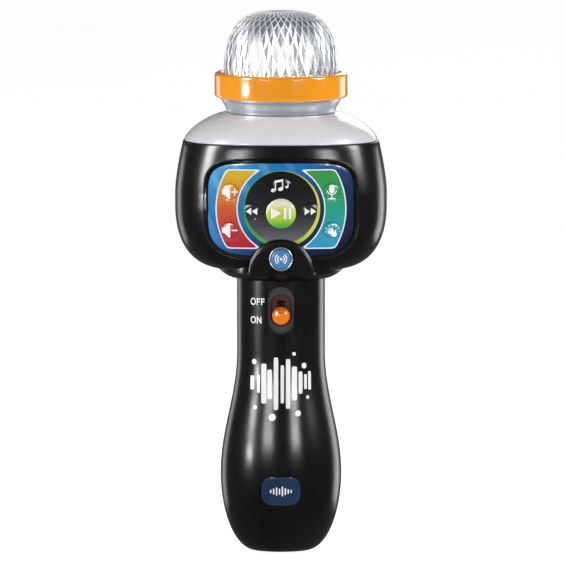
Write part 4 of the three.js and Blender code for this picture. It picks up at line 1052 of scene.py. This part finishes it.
def panelPrintAndHighlight(name):
    material = newFinish(name)
    art = artwork
    spot = Wire.node("ShaderNodeVectorMath", {"operation": "SCALE"}, {0: place(), "Scale": 1000.0})
    x = Wire.node("ShaderNodeSeparateXYZ", None, {0: spot}, out="X")
    z = Wire.node("ShaderNodeSeparateXYZ", None, {0: spot}, out="Z") - panelLevel

    def away(dx, dz):
        return (dx * dx + dz * dz).root()

    def filled(edge):  # 1 inside a shape, from the distance to its edge
        return edge.rise(0.0, art["soft"])

    # ground: light upper left to navy lower right, with slanting light streaks
    slope = (x * 0.55 - z * 0.62 + 26) / 52
    ground = ramp(slope, [(0, "#3a98d4"), (0.2, "#1c7cbc"), (0.38, "#1070b4"), (0.52, "#134a86"),
                          (0.7, "#142a58"), (1, "#101a3a")])
    slant = x * 0.24 + z * 0.11
    streaks = (slant * 2.1 + noise(40, 1, 0.4) * 2).wave().rise(0.25, 1.0) * (1 - slope).rise(0.45, 0.95)
    ground = mixed(streaks * 0.24, ground, tone("#9ad4f0"))
    # pads: between the circle round the keys and a wide outer circle, cut level at top and bottom
    side = x.size()
    inner = away(side + art["ringX"], z - art["ringZ"]) - art["padInner"]
    outer = art["padOuter"] - away(side + art["padOuterX"], z - art["ringZ"])
    across = inner.least(outer)
    upright = (art["padTop"] - z).least(z - art["padLow"])
    # a soft minimum rounds the pad's corners
    edges = {0: across, 1: upright, 2: art["corner"]}
    corner = Wire.node("ShaderNodeMath", {"operation": "SMOOTH_MIN"}, edges)
    corner = corner.least(across.least(upright))
    tall = (z - art["padLow"]) / (art["padTop"] - art["padLow"])
    warm = ramp(tall, [(0, "#b01a30"), (0.22, "#bf3034"), (0.5, "#cf5a2c"), (0.72, "#da8c22"),
                       (1, "#d8bc1e")])
    cool = ramp(tall, [(0, "#2a9cc8"), (0.3, "#22a0a8"), (0.55, "#22a07a"), (0.8, "#2f9c50"),
                       (1, "#3c9a3a")])
    fill = mixed(x.rise(-0.1, 0.1), warm, cool)
    colour = mixed(filled(corner), ground, tone("#f2f4f6"))
    colour = mixed(filled(corner - art["border"]), colour, fill)
    # ring and disc
    hue = ramp((x + 18) / 36, [(0, "#3a9c46"), (0.35, "#5cae3c"), (0.7, "#a8c23a"), (1, "#e0e048")])
    band = filled(art["ringRadius"] - away(x - art["ringX"], z - art["ringZ"]))
    colour = mixed(band, colour, hue)
    disc = ramp((z + 15.5) / 33, [(0, "#707276"), (0.2, "#4e4f53"), (0.42, "#2a2a2d"), (0.7, "#1a1a1c"),
                                  (1, "#121214")])
    middle = filled(art["discRadius"] - away(x - art["discX"], z - art["discZ"]))
    colour = mixed(middle, colour, disc)
    # the play key's glassy button: green print that turns near white at its top, a painted highlight, with a
    # yellower middle
    playPrintAndHighlight = ramp((z + 8.6) / 14, [(0, "#3fa648"), (0.16, "#6fbc3e"), (0.36, "#b4d23e"), (0.6, "#d3dc7c"),
                                 (0.85, "#e8ead0"), (1, "#dfe2cc")])
    heart = away(x - 0.2, z - art["playZ"]).rise(4.5, 1.0)
    playPrintAndHighlight = mixed(heart * 0.45, playPrintAndHighlight, tone("#c8cc28"))
    button = filled(art["playRadius"] - away(x - art["playX"], z - art["playZ"]))
    colour = mixed(button, colour, playPrintAndHighlight)
    dust = noise(300, 2, 0.5)
    inputs = {"Base Color": colour, "Roughness": 0.16 + 0.06 * dust, "IOR": 1.42, "Coat Weight": 0.35,
              "Coat Roughness": 0.04, "Normal": bump(noise(260, 2, 0.5), 0.00004, 0.35)}
    return surface(material, inputs)


# the panel's print, which carries the painted highlight on the play key
printedAndHighlight = panelPrintAndHighlight("printedFilmAndHighlight")
keyNames = ["volume_up", "volume_down", "voice_effect", "applause", "previous", "next", "mode", "play_pause"]
keyPlaces = {}
for keyName in keyNames:
    low, high = corners("key_" + keyName)
    keyPlaces[keyName] = ((low.x + high.x) / 2, (low.z + high.z) / 2, (high.x - low.x) / 2 - 1)
holes = [ellipse(x, z, radius + 0.13, radius + 0.13, count=48) for x, z, radius in keyPlaces.values()]
cutArch = arcLine(0, archLevel, arch["radius"] + 0.15, 5, 175, 48)
outline = []
for p in panelOutline():
    if math.dist(p, (0, archLevel)) > arch["radius"] + 0.25:
        outline.append(p)
gapAt = max(range(len(outline)), key=lambda k: math.dist(outline[k - 1], outline[k]))
outline = outline[gapAt:] + outline[:gapAt]
cutLine = [p for p in cutArch if p[1] > min(outline[0][1], outline[-1][1])]
if math.dist(outline[-1], cutLine[0]) > math.dist(outline[-1], cutLine[-1]):
    cutLine = cutLine[::-1]
film = plate("printed_panel", [outline + cutLine], onPanel, 0.0, -panel["thick"], holes=holes, spacing=1.1,
             soften=0.12)
stand(film, "housing", printedAndHighlight, "panel_print", "button_panel")

keyForm = dict(proud=0.5, flangeDepth=2.1, stalk=1.6,
               wideIcons=("volume_up", "volume_down", "mode", "applause"))
keySlots = dict(volume_up="key_amber", volume_down="key_red", voice_effect="key_green", applause="key_blue",
                previous="key_dark", next="key_dark", mode="key_dark", play_pause="key_lime")
stemEnd = corners("key_mode")[1].y


def arrow(x, size, way):
    return [(x - way * size, -1.25 * size), (x - way * size, 1.25 * size), (x + way * size * 0.85, 0)]


def speakerIcon():
    return [[(-2.0, -1.25), (-0.7, -1.4), (1.3, -3.3), (1.75, -3.3), (1.9, -3.0), (1.9, 3.0), (1.75, 3.3),
             (1.3, 3.3), (-0.7, 1.4), (-2.0, 1.25)]]


def noteIcon():
    shapes = [ellipse(-2.6, -2.1, 1.15, 0.85, tilt=0.35), ellipse(0.7, -1.5, 1.15, 0.85, tilt=0.35)]
    shapes += stroke([(-1.65, -2.0), (-1.65, 2.2)], 0.5) + stroke([(1.65, -1.4), (1.65, 2.9)], 0.5)
    shapes.append([(-1.9, 1.3), (1.9, 2.05), (1.9, 3.15), (-1.9, 2.4)])
    shapes += [ellipse(3.6, -0.5, 0.75, 0.55, tilt=0.35)]
    shapes += stroke([(4.2, -0.4), (4.2, 2.1), (5.1, 1.3)], 0.38)
    return moved(shapes, -0.9, 0)


def micIcon():
    shapes = [ellipse(0, 1.35, 1.25, 2.0, 2.6)]
    shapes += stroke(arcLine(0, 0.9, 2.15, 190, 350, 14), 0.42)
    shapes += stroke([(0, -1.2), (0, -2.9)], 0.5) + [ellipse(0, -3.2, 1.7, 0.38, 3)]
    shapes += stroke(arcLine(0.6, 1.9, 2.6, 20, 60, 6), 0.3)
    return shapes


def handIcon():  # an open hand with marks of a clap round it
    palm = (0.9, -1.5)
    shapes = [ellipse(palm[0], palm[1], 1.75, 1.45, 2.4, tilt=-0.6)]
    for turn, reach in ((168, 2.9), (148, 3.6), (128, 3.7), (108, 3.3), (62, 2.3)):
        way = (math.cos(math.radians(turn)), math.sin(math.radians(turn)))
        root = (palm[0] + 0.7 * way[0] + 0.25, palm[1] + 0.6 * way[1])
        shapes += stroke([root, (palm[0] + reach * way[0], palm[1] + reach * way[1])], 0.7)
    for turn, near, far in ((165, 4.1, 4.6), (143, 4.7, 5.2), (120, 4.8, 5.4), (96, 4.6, 5.3), (72, 4.0, 4.9),
                            (48, 3.7, 4.5), (22, 3.2, 3.9)):
        way = (math.cos(math.radians(turn)), math.sin(math.radians(turn)))
        line = [(palm[0] + reach * way[0], palm[1] + reach * way[1]) for reach in (near, far)]
        shapes += stroke(line, 0.4)
    return moved(shapes, 0.1, -0.4, 0.86)


plus = stroke([(-1.3, 0), (1.3, 0)], 0.62) + stroke([(0, -1.3), (0, 1.3)], 0.62)
icons = dict(
    volume_up=moved(speakerIcon(), -1.9, 0) + moved(plus, 2.05, 0),
    volume_down=moved(speakerIcon(), -1.9, 0) + moved(stroke([(-1.2, 0), (1.2, 0)], 0.62), 2.05, 0),
    previous=[arrow(-1.45, 1.35, -1), arrow(1.35, 1.35, -1)],
    next=[arrow(-1.35, 1.35, 1), arrow(1.45, 1.35, 1)],
    mode=noteIcon(),
    voice_effect=micIcon(),
    applause=handIcon(),
    play_pause=[[(-4.6, -2.6), (-4.6, 2.9), (0.1, 0.15)], [(1.4, -2.5), (2.5, -2.5), (2.5, 2.7), (1.4, 2.7)],
                [(3.6, -2.5), (4.7, -2.5), (4.7, 2.7), (3.6, 2.7)]],
)


def keyHeight(distance, radius):  # the cap is lowest at its edge and slightly crowned
    share = min(distance / radius, 1.0)
    return keyForm["proud"] * (1 - share ** 4) ** 0.5 if share < 1 else 0.0


for keyName in keyNames:
    x, z, radius = keyPlaces[keyName]
    profile = [(0, -panelFace - keyForm["proud"])]
    for i in range(1, 15):
        share = i / 14
        crest = -panelFace - keyHeight(radius * share, radius)
        profile.append((radius * share, crest if i < 14 else -panelFace + 0.1))
    back = -panelFace + keyForm["flangeDepth"]
    profile += [(radius, back), (radius + 1, back), (radius + 1, back + 0.8), (keyForm["stalk"], back + 0.8)]
    body = "key_" + keyName
    key = turnedAcross(body + "_cap", profile, x, z, 72, bow)
    joined(key, [rod("stalk", keyForm["stalk"], bow(x) + back + 0.4, stemEnd, x, z, 24)])
    stand(key, body, printedAndHighlight, keySlots[keyName], body)

    def onKey(u, v, proud, x=x, z=z, radius=radius):
        crown = keyHeight(math.hypot(u - x, v - z), radius)
        return (u, bow(u) - panelFace - crown - proud, v)

    drawing = moved(icons[keyName], x, z)
    capEdge = ellipse(x, z, radius - 0.05, radius - 0.05, count=48)
    icon = plate("icon_" + keyName, drawing, onKey, 0.07, -0.05, spacing=0.5, within=[capEdge])
    stand(icon, body, printWhite, keySlots[keyName])
    if keyName in keyForm["wideIcons"]:  # the rest of a wide icon is on the panel, which stays still
        capGap = ellipse(x, z, radius + 0.16, radius + 0.16, count=48)
        rest = plate("print_" + keyName, drawing, onPanel, 0.07, -0.05, holes=[capGap], spacing=0.5)
        stand(rest, "housing", printWhite, "panel_print")

print("pairing button")

pairing = dict(radius=4.6, ring=bezelOuter, back=-34.0, round=0.35, crown=0.7, lower=0.08, stalk=1.6)
bezelFace = -pairingLow.y
bezel = [(pairing["radius"] + fit, pairing["back"]), (pairing["radius"] + fit, -bezelFace + pairing["round"])]
middle = (pairing["radius"] + fit + pairing["ring"]) / 2
half = (pairing["ring"] - pairing["radius"] - fit) / 2
for i in range(9):
    turn = math.pi * i / 8
    bezel.append((middle - half * math.cos(turn),
                  -bezelFace + pairing["round"] - pairing["round"] * math.sin(turn)))
bezel += [(pairing["ring"], pairing["back"])]
stand(turnedAcross("pairing_ring", bezel, 0, pairingLevel, 96), "housing", bezelSilver, "bezel_silver",
      "pairing_bezel")
buttonFront = -corners("pairing_button")[0].y - pairing["lower"]  # leaves room for its symbol
cap = [(0, -buttonFront)]
for i in range(1, 13):
    share = i / 12
    fall = pairing["crown"] * (1 - math.sqrt(max(1 - share ** 5, 0)))
    cap.append((pairing["radius"] * share, -buttonFront + fall))
buttonBack = corners("pairing_button")[1].y
brim = pairing["back"] + fit
cap += [(pairing["radius"], brim), (pairing["ring"] - 0.1, brim), (pairing["ring"] - 0.1, brim + 0.8),
        (pairing["stalk"], brim + 0.8), (pairing["stalk"], buttonBack), (0, buttonBack)]
stand(turnedAcross("pairing_cap", cap, 0, pairingLevel, 72), "pairing_button", pairingBlue, "pairing_blue",
      "pairing_button")
waves = [ellipse(0, 0, 0.62, 0.62)]
for radius in (1.55, 2.6):
    for start in (-48, 132):
        waves += stroke(arcLine(0, 0, radius, start, start + 96, 12), 0.5)


def onButton(u, v, proud):
    share = min(math.hypot(u, v - pairingLevel) / pairing["radius"], 1)
    return (u, -buttonFront + pairing["crown"] * (1 - math.sqrt(1 - share ** 5)) - proud, v)


symbol = plate("pairing_symbol", moved(waves, 0, pairingLevel), onButton, 0.04, -0.05, spacing=0.5)
stand(symbol, "pairing_button", printWhite, "pairing_blue")

print("switch, badge and handle print")

knobCentre = gripFront + 1.1
knobBack = gripFront + switchBay["slotDepth"] - fit
ball = [(0, knobCentre - knobRadius)]
for i in range(1, 22):
    turn = math.pi * i / 24
    y = knobCentre - knobRadius * math.cos(turn)
    dimple = 0.12 * math.exp(-((turn - 0.62) / 0.1) ** 2)
    if y < knobBack:
        ball.append(((knobRadius - dimple) * math.sin(turn), y + dimple * math.cos(turn)))
edge = math.sqrt(max(knobRadius ** 2 - (knobBack - knobCentre) ** 2, 0))
ball += [(edge, knobBack), (0, knobBack)]
knob = turnedAcross("switch_ball", ball, 0, knobLevel, 72)
stemHalf = switchBay["stemHalf"]
stem = block("stem", -stemHalf, stemHalf, knobBack - 0.3, knobHigh.y,
             knobLevel - stemHalf, knobLevel + stemHalf)
joined(knob, [stem])
stand(knob, "power_switch", switchOrange, "switch_orange", "switch_knob")

liner = dict(proud=0.08, thick=0.3)


def lining(name, halfWide, halfHigh, depth, hole):  # a thin plate on the floor of a bay
    def onFloor(x, z, proud):
        return (x, gripFront + depth - proud, z)

    shape = stadium(halfWide - 0.05, halfHigh - 0.05, slotLevel)
    return plate(name, [shape], onFloor, liner["proud"], liner["proud"] - liner["thick"], holes=[hole])


slitHalfHigh = switchBay["travel"] / 2 + stemGap
slitShape = [(-stemGap, slotLevel - slitHalfHigh), (stemGap, slotLevel - slitHalfHigh),
             (stemGap, slotLevel + slitHalfHigh), (-stemGap, slotLevel + slitHalfHigh)]
slotLining = lining("slot_lining", switchBay["slotHalfWide"], switchBay["slotHalfHigh"],
                    switchBay["slotDepth"], slitShape)
# the slot's lining is dark red-brown: painted shade, the orange slider plate as it looks in shadow
stand(slotLining, "housing", plastic("liningShadedOrange", "#5c2010", 0.35, vary=0.2), "switch_orange")
slotShape = stadium(switchBay["slotHalfWide"] + 0.15, switchBay["slotHalfHigh"] + 0.15, slotLevel)
recessLining = lining("recess_lining", switchBay["recessHalfWide"], switchBay["recessHalfHigh"],
                      switchBay["recessDepth"], slotShape)
stand(recessLining, "housing", plastic("liningGrey", "#34363a", 0.5, vary=0.1, speck=0.3), "shell_black")

badge = plate("badge_plate", [badgeShape], onHandle(-1), badgeForm["proud"],
              badgeForm["proud"] - badgeForm["thick"], spacing=0.9, soften=0.12)
stand(badge, "housing", badgeNavy, "badge_navy", "badge")
bars = []
for i, tall in enumerate((0.9, 1.9, 3.0, 2.1, 3.6, 2.4, 1.4, 0.8)):
    x = (i - 3.5) * 1.35
    bars += stroke([(x, badgeLevel - tall * 0.55), (x, badgeLevel + tall * 0.55)], 0.62)
badgeBars = plate("badge_bars", bars, onHandle(-1), badgeForm["proud"] + 0.04, badgeForm["proud"] - 0.1,
                  spacing=0.6)
stand(badgeBars, "housing", printWhite, "badge_navy")

pattern = dict(middle=79.0,
               bars=((-14.2, 6.4, 0.1), (-10.8, 8.3, -0.2), (-8.1, 18.2, -0.1), (-5.3, 13.5, -0.4),
                     (-2.3, 24.0, 0.0), (0.6, 17.4, -0.3), (3.3, 22.7, -0.1), (6.3, 15.5, 0.0),
                     (9.3, 10.2, 0.3), (11.9, 6.8, 0.6), (14.2, 8.4, 1.1)),
               wide=(2.3, 1.5, 2.6, 2.3, 2.1, 1.6, 2.1, 2.6, 2.0, 1.5, 1.6),
               dots=((-13.2, 88.7, 1.3), (6.1, 92.6, 0.9), (11.2, 87.0, 1.3), (-12.5, 67.9, 1.0),
                     (-4.1, 63.6, 1.7), (8.0, 65.3, 1.4), (13.0, 72.5, 0.8)))
marks = []
for (u, tall, shift), wide in zip(pattern["bars"], pattern["wide"]):
    level = pattern["middle"] + shift
    marks.append(ellipse(u, level, wide / 2, tall / 2, 9, 44))
marks += [ellipse(u, z, radius, radius) for u, z, radius in pattern["dots"]]
stand(plate("sound_bars", marks, onGrip, 0.06, -0.06, spacing=0.9), "housing", printWhite, "shell_black")

letterHigh, pen = 3.2, 0.56


def letterO(x, z):
    half = letterHigh / 2
    return [ellipse(x + 1.5, z, 1.5, half + 0.05, 2.3, 36)], [ellipse(x + 1.5, z, 0.98, half - 0.5, 2.2, 30)]


def bar(left, right, low, high):
    return [(left, low), (right, low), (right, high), (left, high)]


def letterF(x, z):
    half = letterHigh / 2
    return [bar(x, x + pen, z - half, z + half), bar(x, x + 1.85, z + half - 0.62, z + half),
            bar(x, x + 1.65, z - 0.25, z + 0.35)], []


def letterN(x, z):
    half = letterHigh / 2
    return [bar(x, x + pen, z - half, z + half), bar(x + 1.95, x + 1.95 + pen, z - half, z + half),
            [(x, z + half), (x + pen, z + half), (x + 2.63, z - half), (x + 1.95, z - half)]], []


for word, letters, level in (("off", ((letterO, 0), (letterF, 3.45), (letterF, 5.75)), slotLevel + 3.9),
                             ("on", ((letterO, 0), (letterN, 3.5)), knobLevel - 2.1)):
    shapes, holes = [], []
    for draw, offset in letters:
        made = draw(-15.3 + offset, level)
        shapes += made[0]
        holes += made[1]
    lettering = plate("word_" + word, shapes, onGrip, 0.06, -0.06, holes=holes, spacing=0.6)
    stand(lettering, "housing", printWhite, "shell_black")

print("inside")

cellWrap = newFinish("cellWrap")
height = Wire.node("ShaderNodeSeparateXYZ", None, {0: place()}, out="Z") * 1000
cellLow, cellHigh = corners("battery_1")
share = (height - cellLow.z) / (cellHigh.z - cellLow.z)
wrap = ramp(share, [(0, "#b06a28"), (0.3, "#c9843a"), (0.32, "#1c1c20"), (1, "#242428")])
scuff = noise(140, 4, 0.6)
surface(cellWrap, {"Base Color": mixed(scuff * 0.2, wrap, tone("#8a8a8c")), "Metallic": 0.4,
                   "Roughness": 0.25 + 0.25 * scuff, "Normal": bump(scuff, 0.00004, 0.3)})
for i in range(1, 4):
    low, high = corners(f"battery_{i}")
    radius = (high.x - low.x) / 2
    x, y = (low.x + high.x) / 2, (low.y + high.y) / 2
    profile = [(0, low.z + 0.4), (3.2, low.z + 0.4), (3.5, low.z), (radius - 0.6, low.z),
               (radius - 0.15, low.z + 0.2), (radius, low.z + 0.8), (radius, high.z - 2.4),
               (radius - 0.3, high.z - 2.0), (radius - 1.2, high.z - 1.9), (3.4, high.z - 1.9),
               (2.75, high.z - 1.4), (2.6, high.z - 0.2), (2.4, high.z), (0, high.z)]
    cell = turned(f"cell_{i}", profile, 72)
    cell.data.transform(Matrix.Translation((x * mm, y * mm, 0)))
    stand(cell, "housing", cellWrap, "cell_wrap", f"battery_{i}")

boardGreen = newFinish("boardGreen")
trackForm = {"Vector": stretched(1.0, 0.02, 1.0), "Scale": 260, "Mortar Size": 0.03,
             "Color1": tone("#1f5a36"), "Color2": tone("#246a3e"), "Mortar": tone("#2f7d4a")}
tracks = Wire.node("ShaderNodeTexBrick", {"offset": 0.5}, trackForm)
pads = noise(700, 2, 0.5).rise(0.62, 0.7)
surface(boardGreen, {"Base Color": mixed(pads, tracks, tone("#b9b08a")), "Roughness": 0.3 + 0.2 * noise(200),
                     "Normal": bump(noise(500, 2), 0.00003, 0.5)})
conePaper = plastic("conePaper", "#17171a", 0.8, speck=0.8, peel=0.4)
basketSteel = metal("basketSteel", "#6a6d70", 0.4)
kept = {  # nodes shown as the frame has them
    "battery_tray": trayBlack, "battery_contact_lower": steelFinish, "battery_contact_upper": steelFinish,
    "switch_body": trayBlack, "speaker_frame": basketSteel, "speaker_magnet": magnetFinish,
    "speaker_cone": conePaper, "key_board": boardGreen, "main_board": boardGreen, "lamp_board": boardGreen,
    "lamp_1": lampLens, "lamp_2": lampLens, "lamp_3": lampLens, "mic_boot": bootRubber,
    "mic_capsule": capsuleFinish, "lead_power": redLead, "lead_lamp": yellowLead,
}
for pressName in keyNames + ["pairing"]:
    kept["tact_switch_" + pressName] = steelFinish
for node, finish in kept.items():
    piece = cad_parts[node]
    for k in range(max(len(piece.material_slots), 1)):
        if k < len(piece.material_slots):
            piece.material_slots[k].material = finish
        else:
            piece.data.materials.append(finish)

print("floor, light and camera")

studio = dict(floorGlow=0.94, floorReach=60000, floorDrop=0.0003, worldTone="#e6e8ec", worldStrength=0.14)
reach = studio["floorReach"]
floor = newMesh("floor", [(-reach, -reach, 0), (reach, -reach, 0), (reach, reach, 0), (-reach, reach, 0)],
                [(0, 1, 2, 3)], smooth=False)
floor.location.z = -studio["floorDrop"]
paper = newFinish("paper")
weave = noise(3, 2, 0.5)
surface(paper, {"Base Color": mixed(weave, tone("#b4b4b5"), tone("#bababb")), "Roughness": 0.9,
                "Specular IOR Level": 0.1, "Emission Color": mixed(weave, tone("#fafafa"), tone("#ffffff")),
                "Emission Strength": studio["floorGlow"]})
floor.data.materials.append(paper)
floor.visible_glossy = False

world = bpy.data.worlds.new("studio")
world.use_nodes = True
world.node_tree.nodes["Background"].inputs["Color"].default_value = tone(studio["worldTone"])
world.node_tree.nodes["Background"].inputs["Strength"].default_value = studio["worldStrength"]
scene.world = world


def softbox(name, bearing, distance, low, high, wide, watts, aim=0.15, glossy=True, diffuse=True):
    # bearing is degrees round from the front, towards the right; low and high are its edges above the floor
    lamp = bpy.data.lights.new(name, "AREA")
    lamp.shape = "RECTANGLE"
    lamp.size, lamp.size_y = wide, high - low
    lamp.energy = watts
    holder = bpy.data.objects.new(name, lamp)
    scene.collection.objects.link(holder)
    turn = math.radians(bearing)
    holder.location = (distance * math.sin(turn), -distance * math.cos(turn), (low + high) / 2)
    way = Vector((0, 0, aim)) - holder.location
    holder.rotation_euler = way.to_track_quat("-Z", "Y").to_euler()
    holder.visible_glossy = glossy
    holder.visible_diffuse = diffuse
    return holder


softbox("fillLeft", -74, 1.1, 0.2, 1.0, 0.5, 6.4, glossy=False)
softbox("fillRight", 76, 1.1, 0.2, 1.0, 0.5, 7.0, glossy=False)
softbox("fillFront", 0, 1.6, 0.5, 1.2, 0.9, 2.4, glossy=False)
softbox("overhead", 0, 0.05, 1.2, 1.9, 1.2, 5.0, glossy=False)
softbox("cardLeft", -66, 0.85, 0.27, 0.85, 0.22, 14, diffuse=False)
softbox("cardRing", -63.5, 0.85, 0.112, 0.165, 0.17, 2.0, diffuse=False)
softbox("cardRight", 74, 0.9, 0.38, 0.95, 0.3, 12, diffuse=False)
softbox("cardFrontLeft", -27, 1.2, 0.31, 0.44, 0.4, 5.0, diffuse=False)
softbox("cardFrontRight", 30, 1.2, 0.31, 0.44, 0.34, 4.6, diffuse=False)
softbox("cardEdgeRight", 134, 1.0, -0.2, 0.25, 0.4, 1.7, diffuse=False)
softbox("cardEdgeLeft", -140, 1.0, -0.2, 0.25, 0.3, 0.7, diffuse=False)
softbox("cardRear", 168, 1.2, 0.3, 0.9, 0.5, 2.6, diffuse=False)

camera = bpy.data.cameras.new("camera")
eye = bpy.data.objects.new("camera", camera)
scene.collection.objects.link(eye)
view = dict(pitch=5.35, distance=12.0, spanWide=0.261, aimX=0.0007, aimUp=0.1233)
tilt = math.radians(view["pitch"])
aim = Vector((view["aimX"], 0, view["aimUp"] / math.cos(tilt)))
eye.location = aim + view["distance"] * Vector((0, -math.cos(tilt), math.sin(tilt)))
eye.rotation_euler = (math.pi / 2 - tilt, 0, 0)
camera.sensor_width = 36
camera.lens = 36 * view["distance"] / view["spanWide"]
camera.clip_end = 200
scene.camera = eye
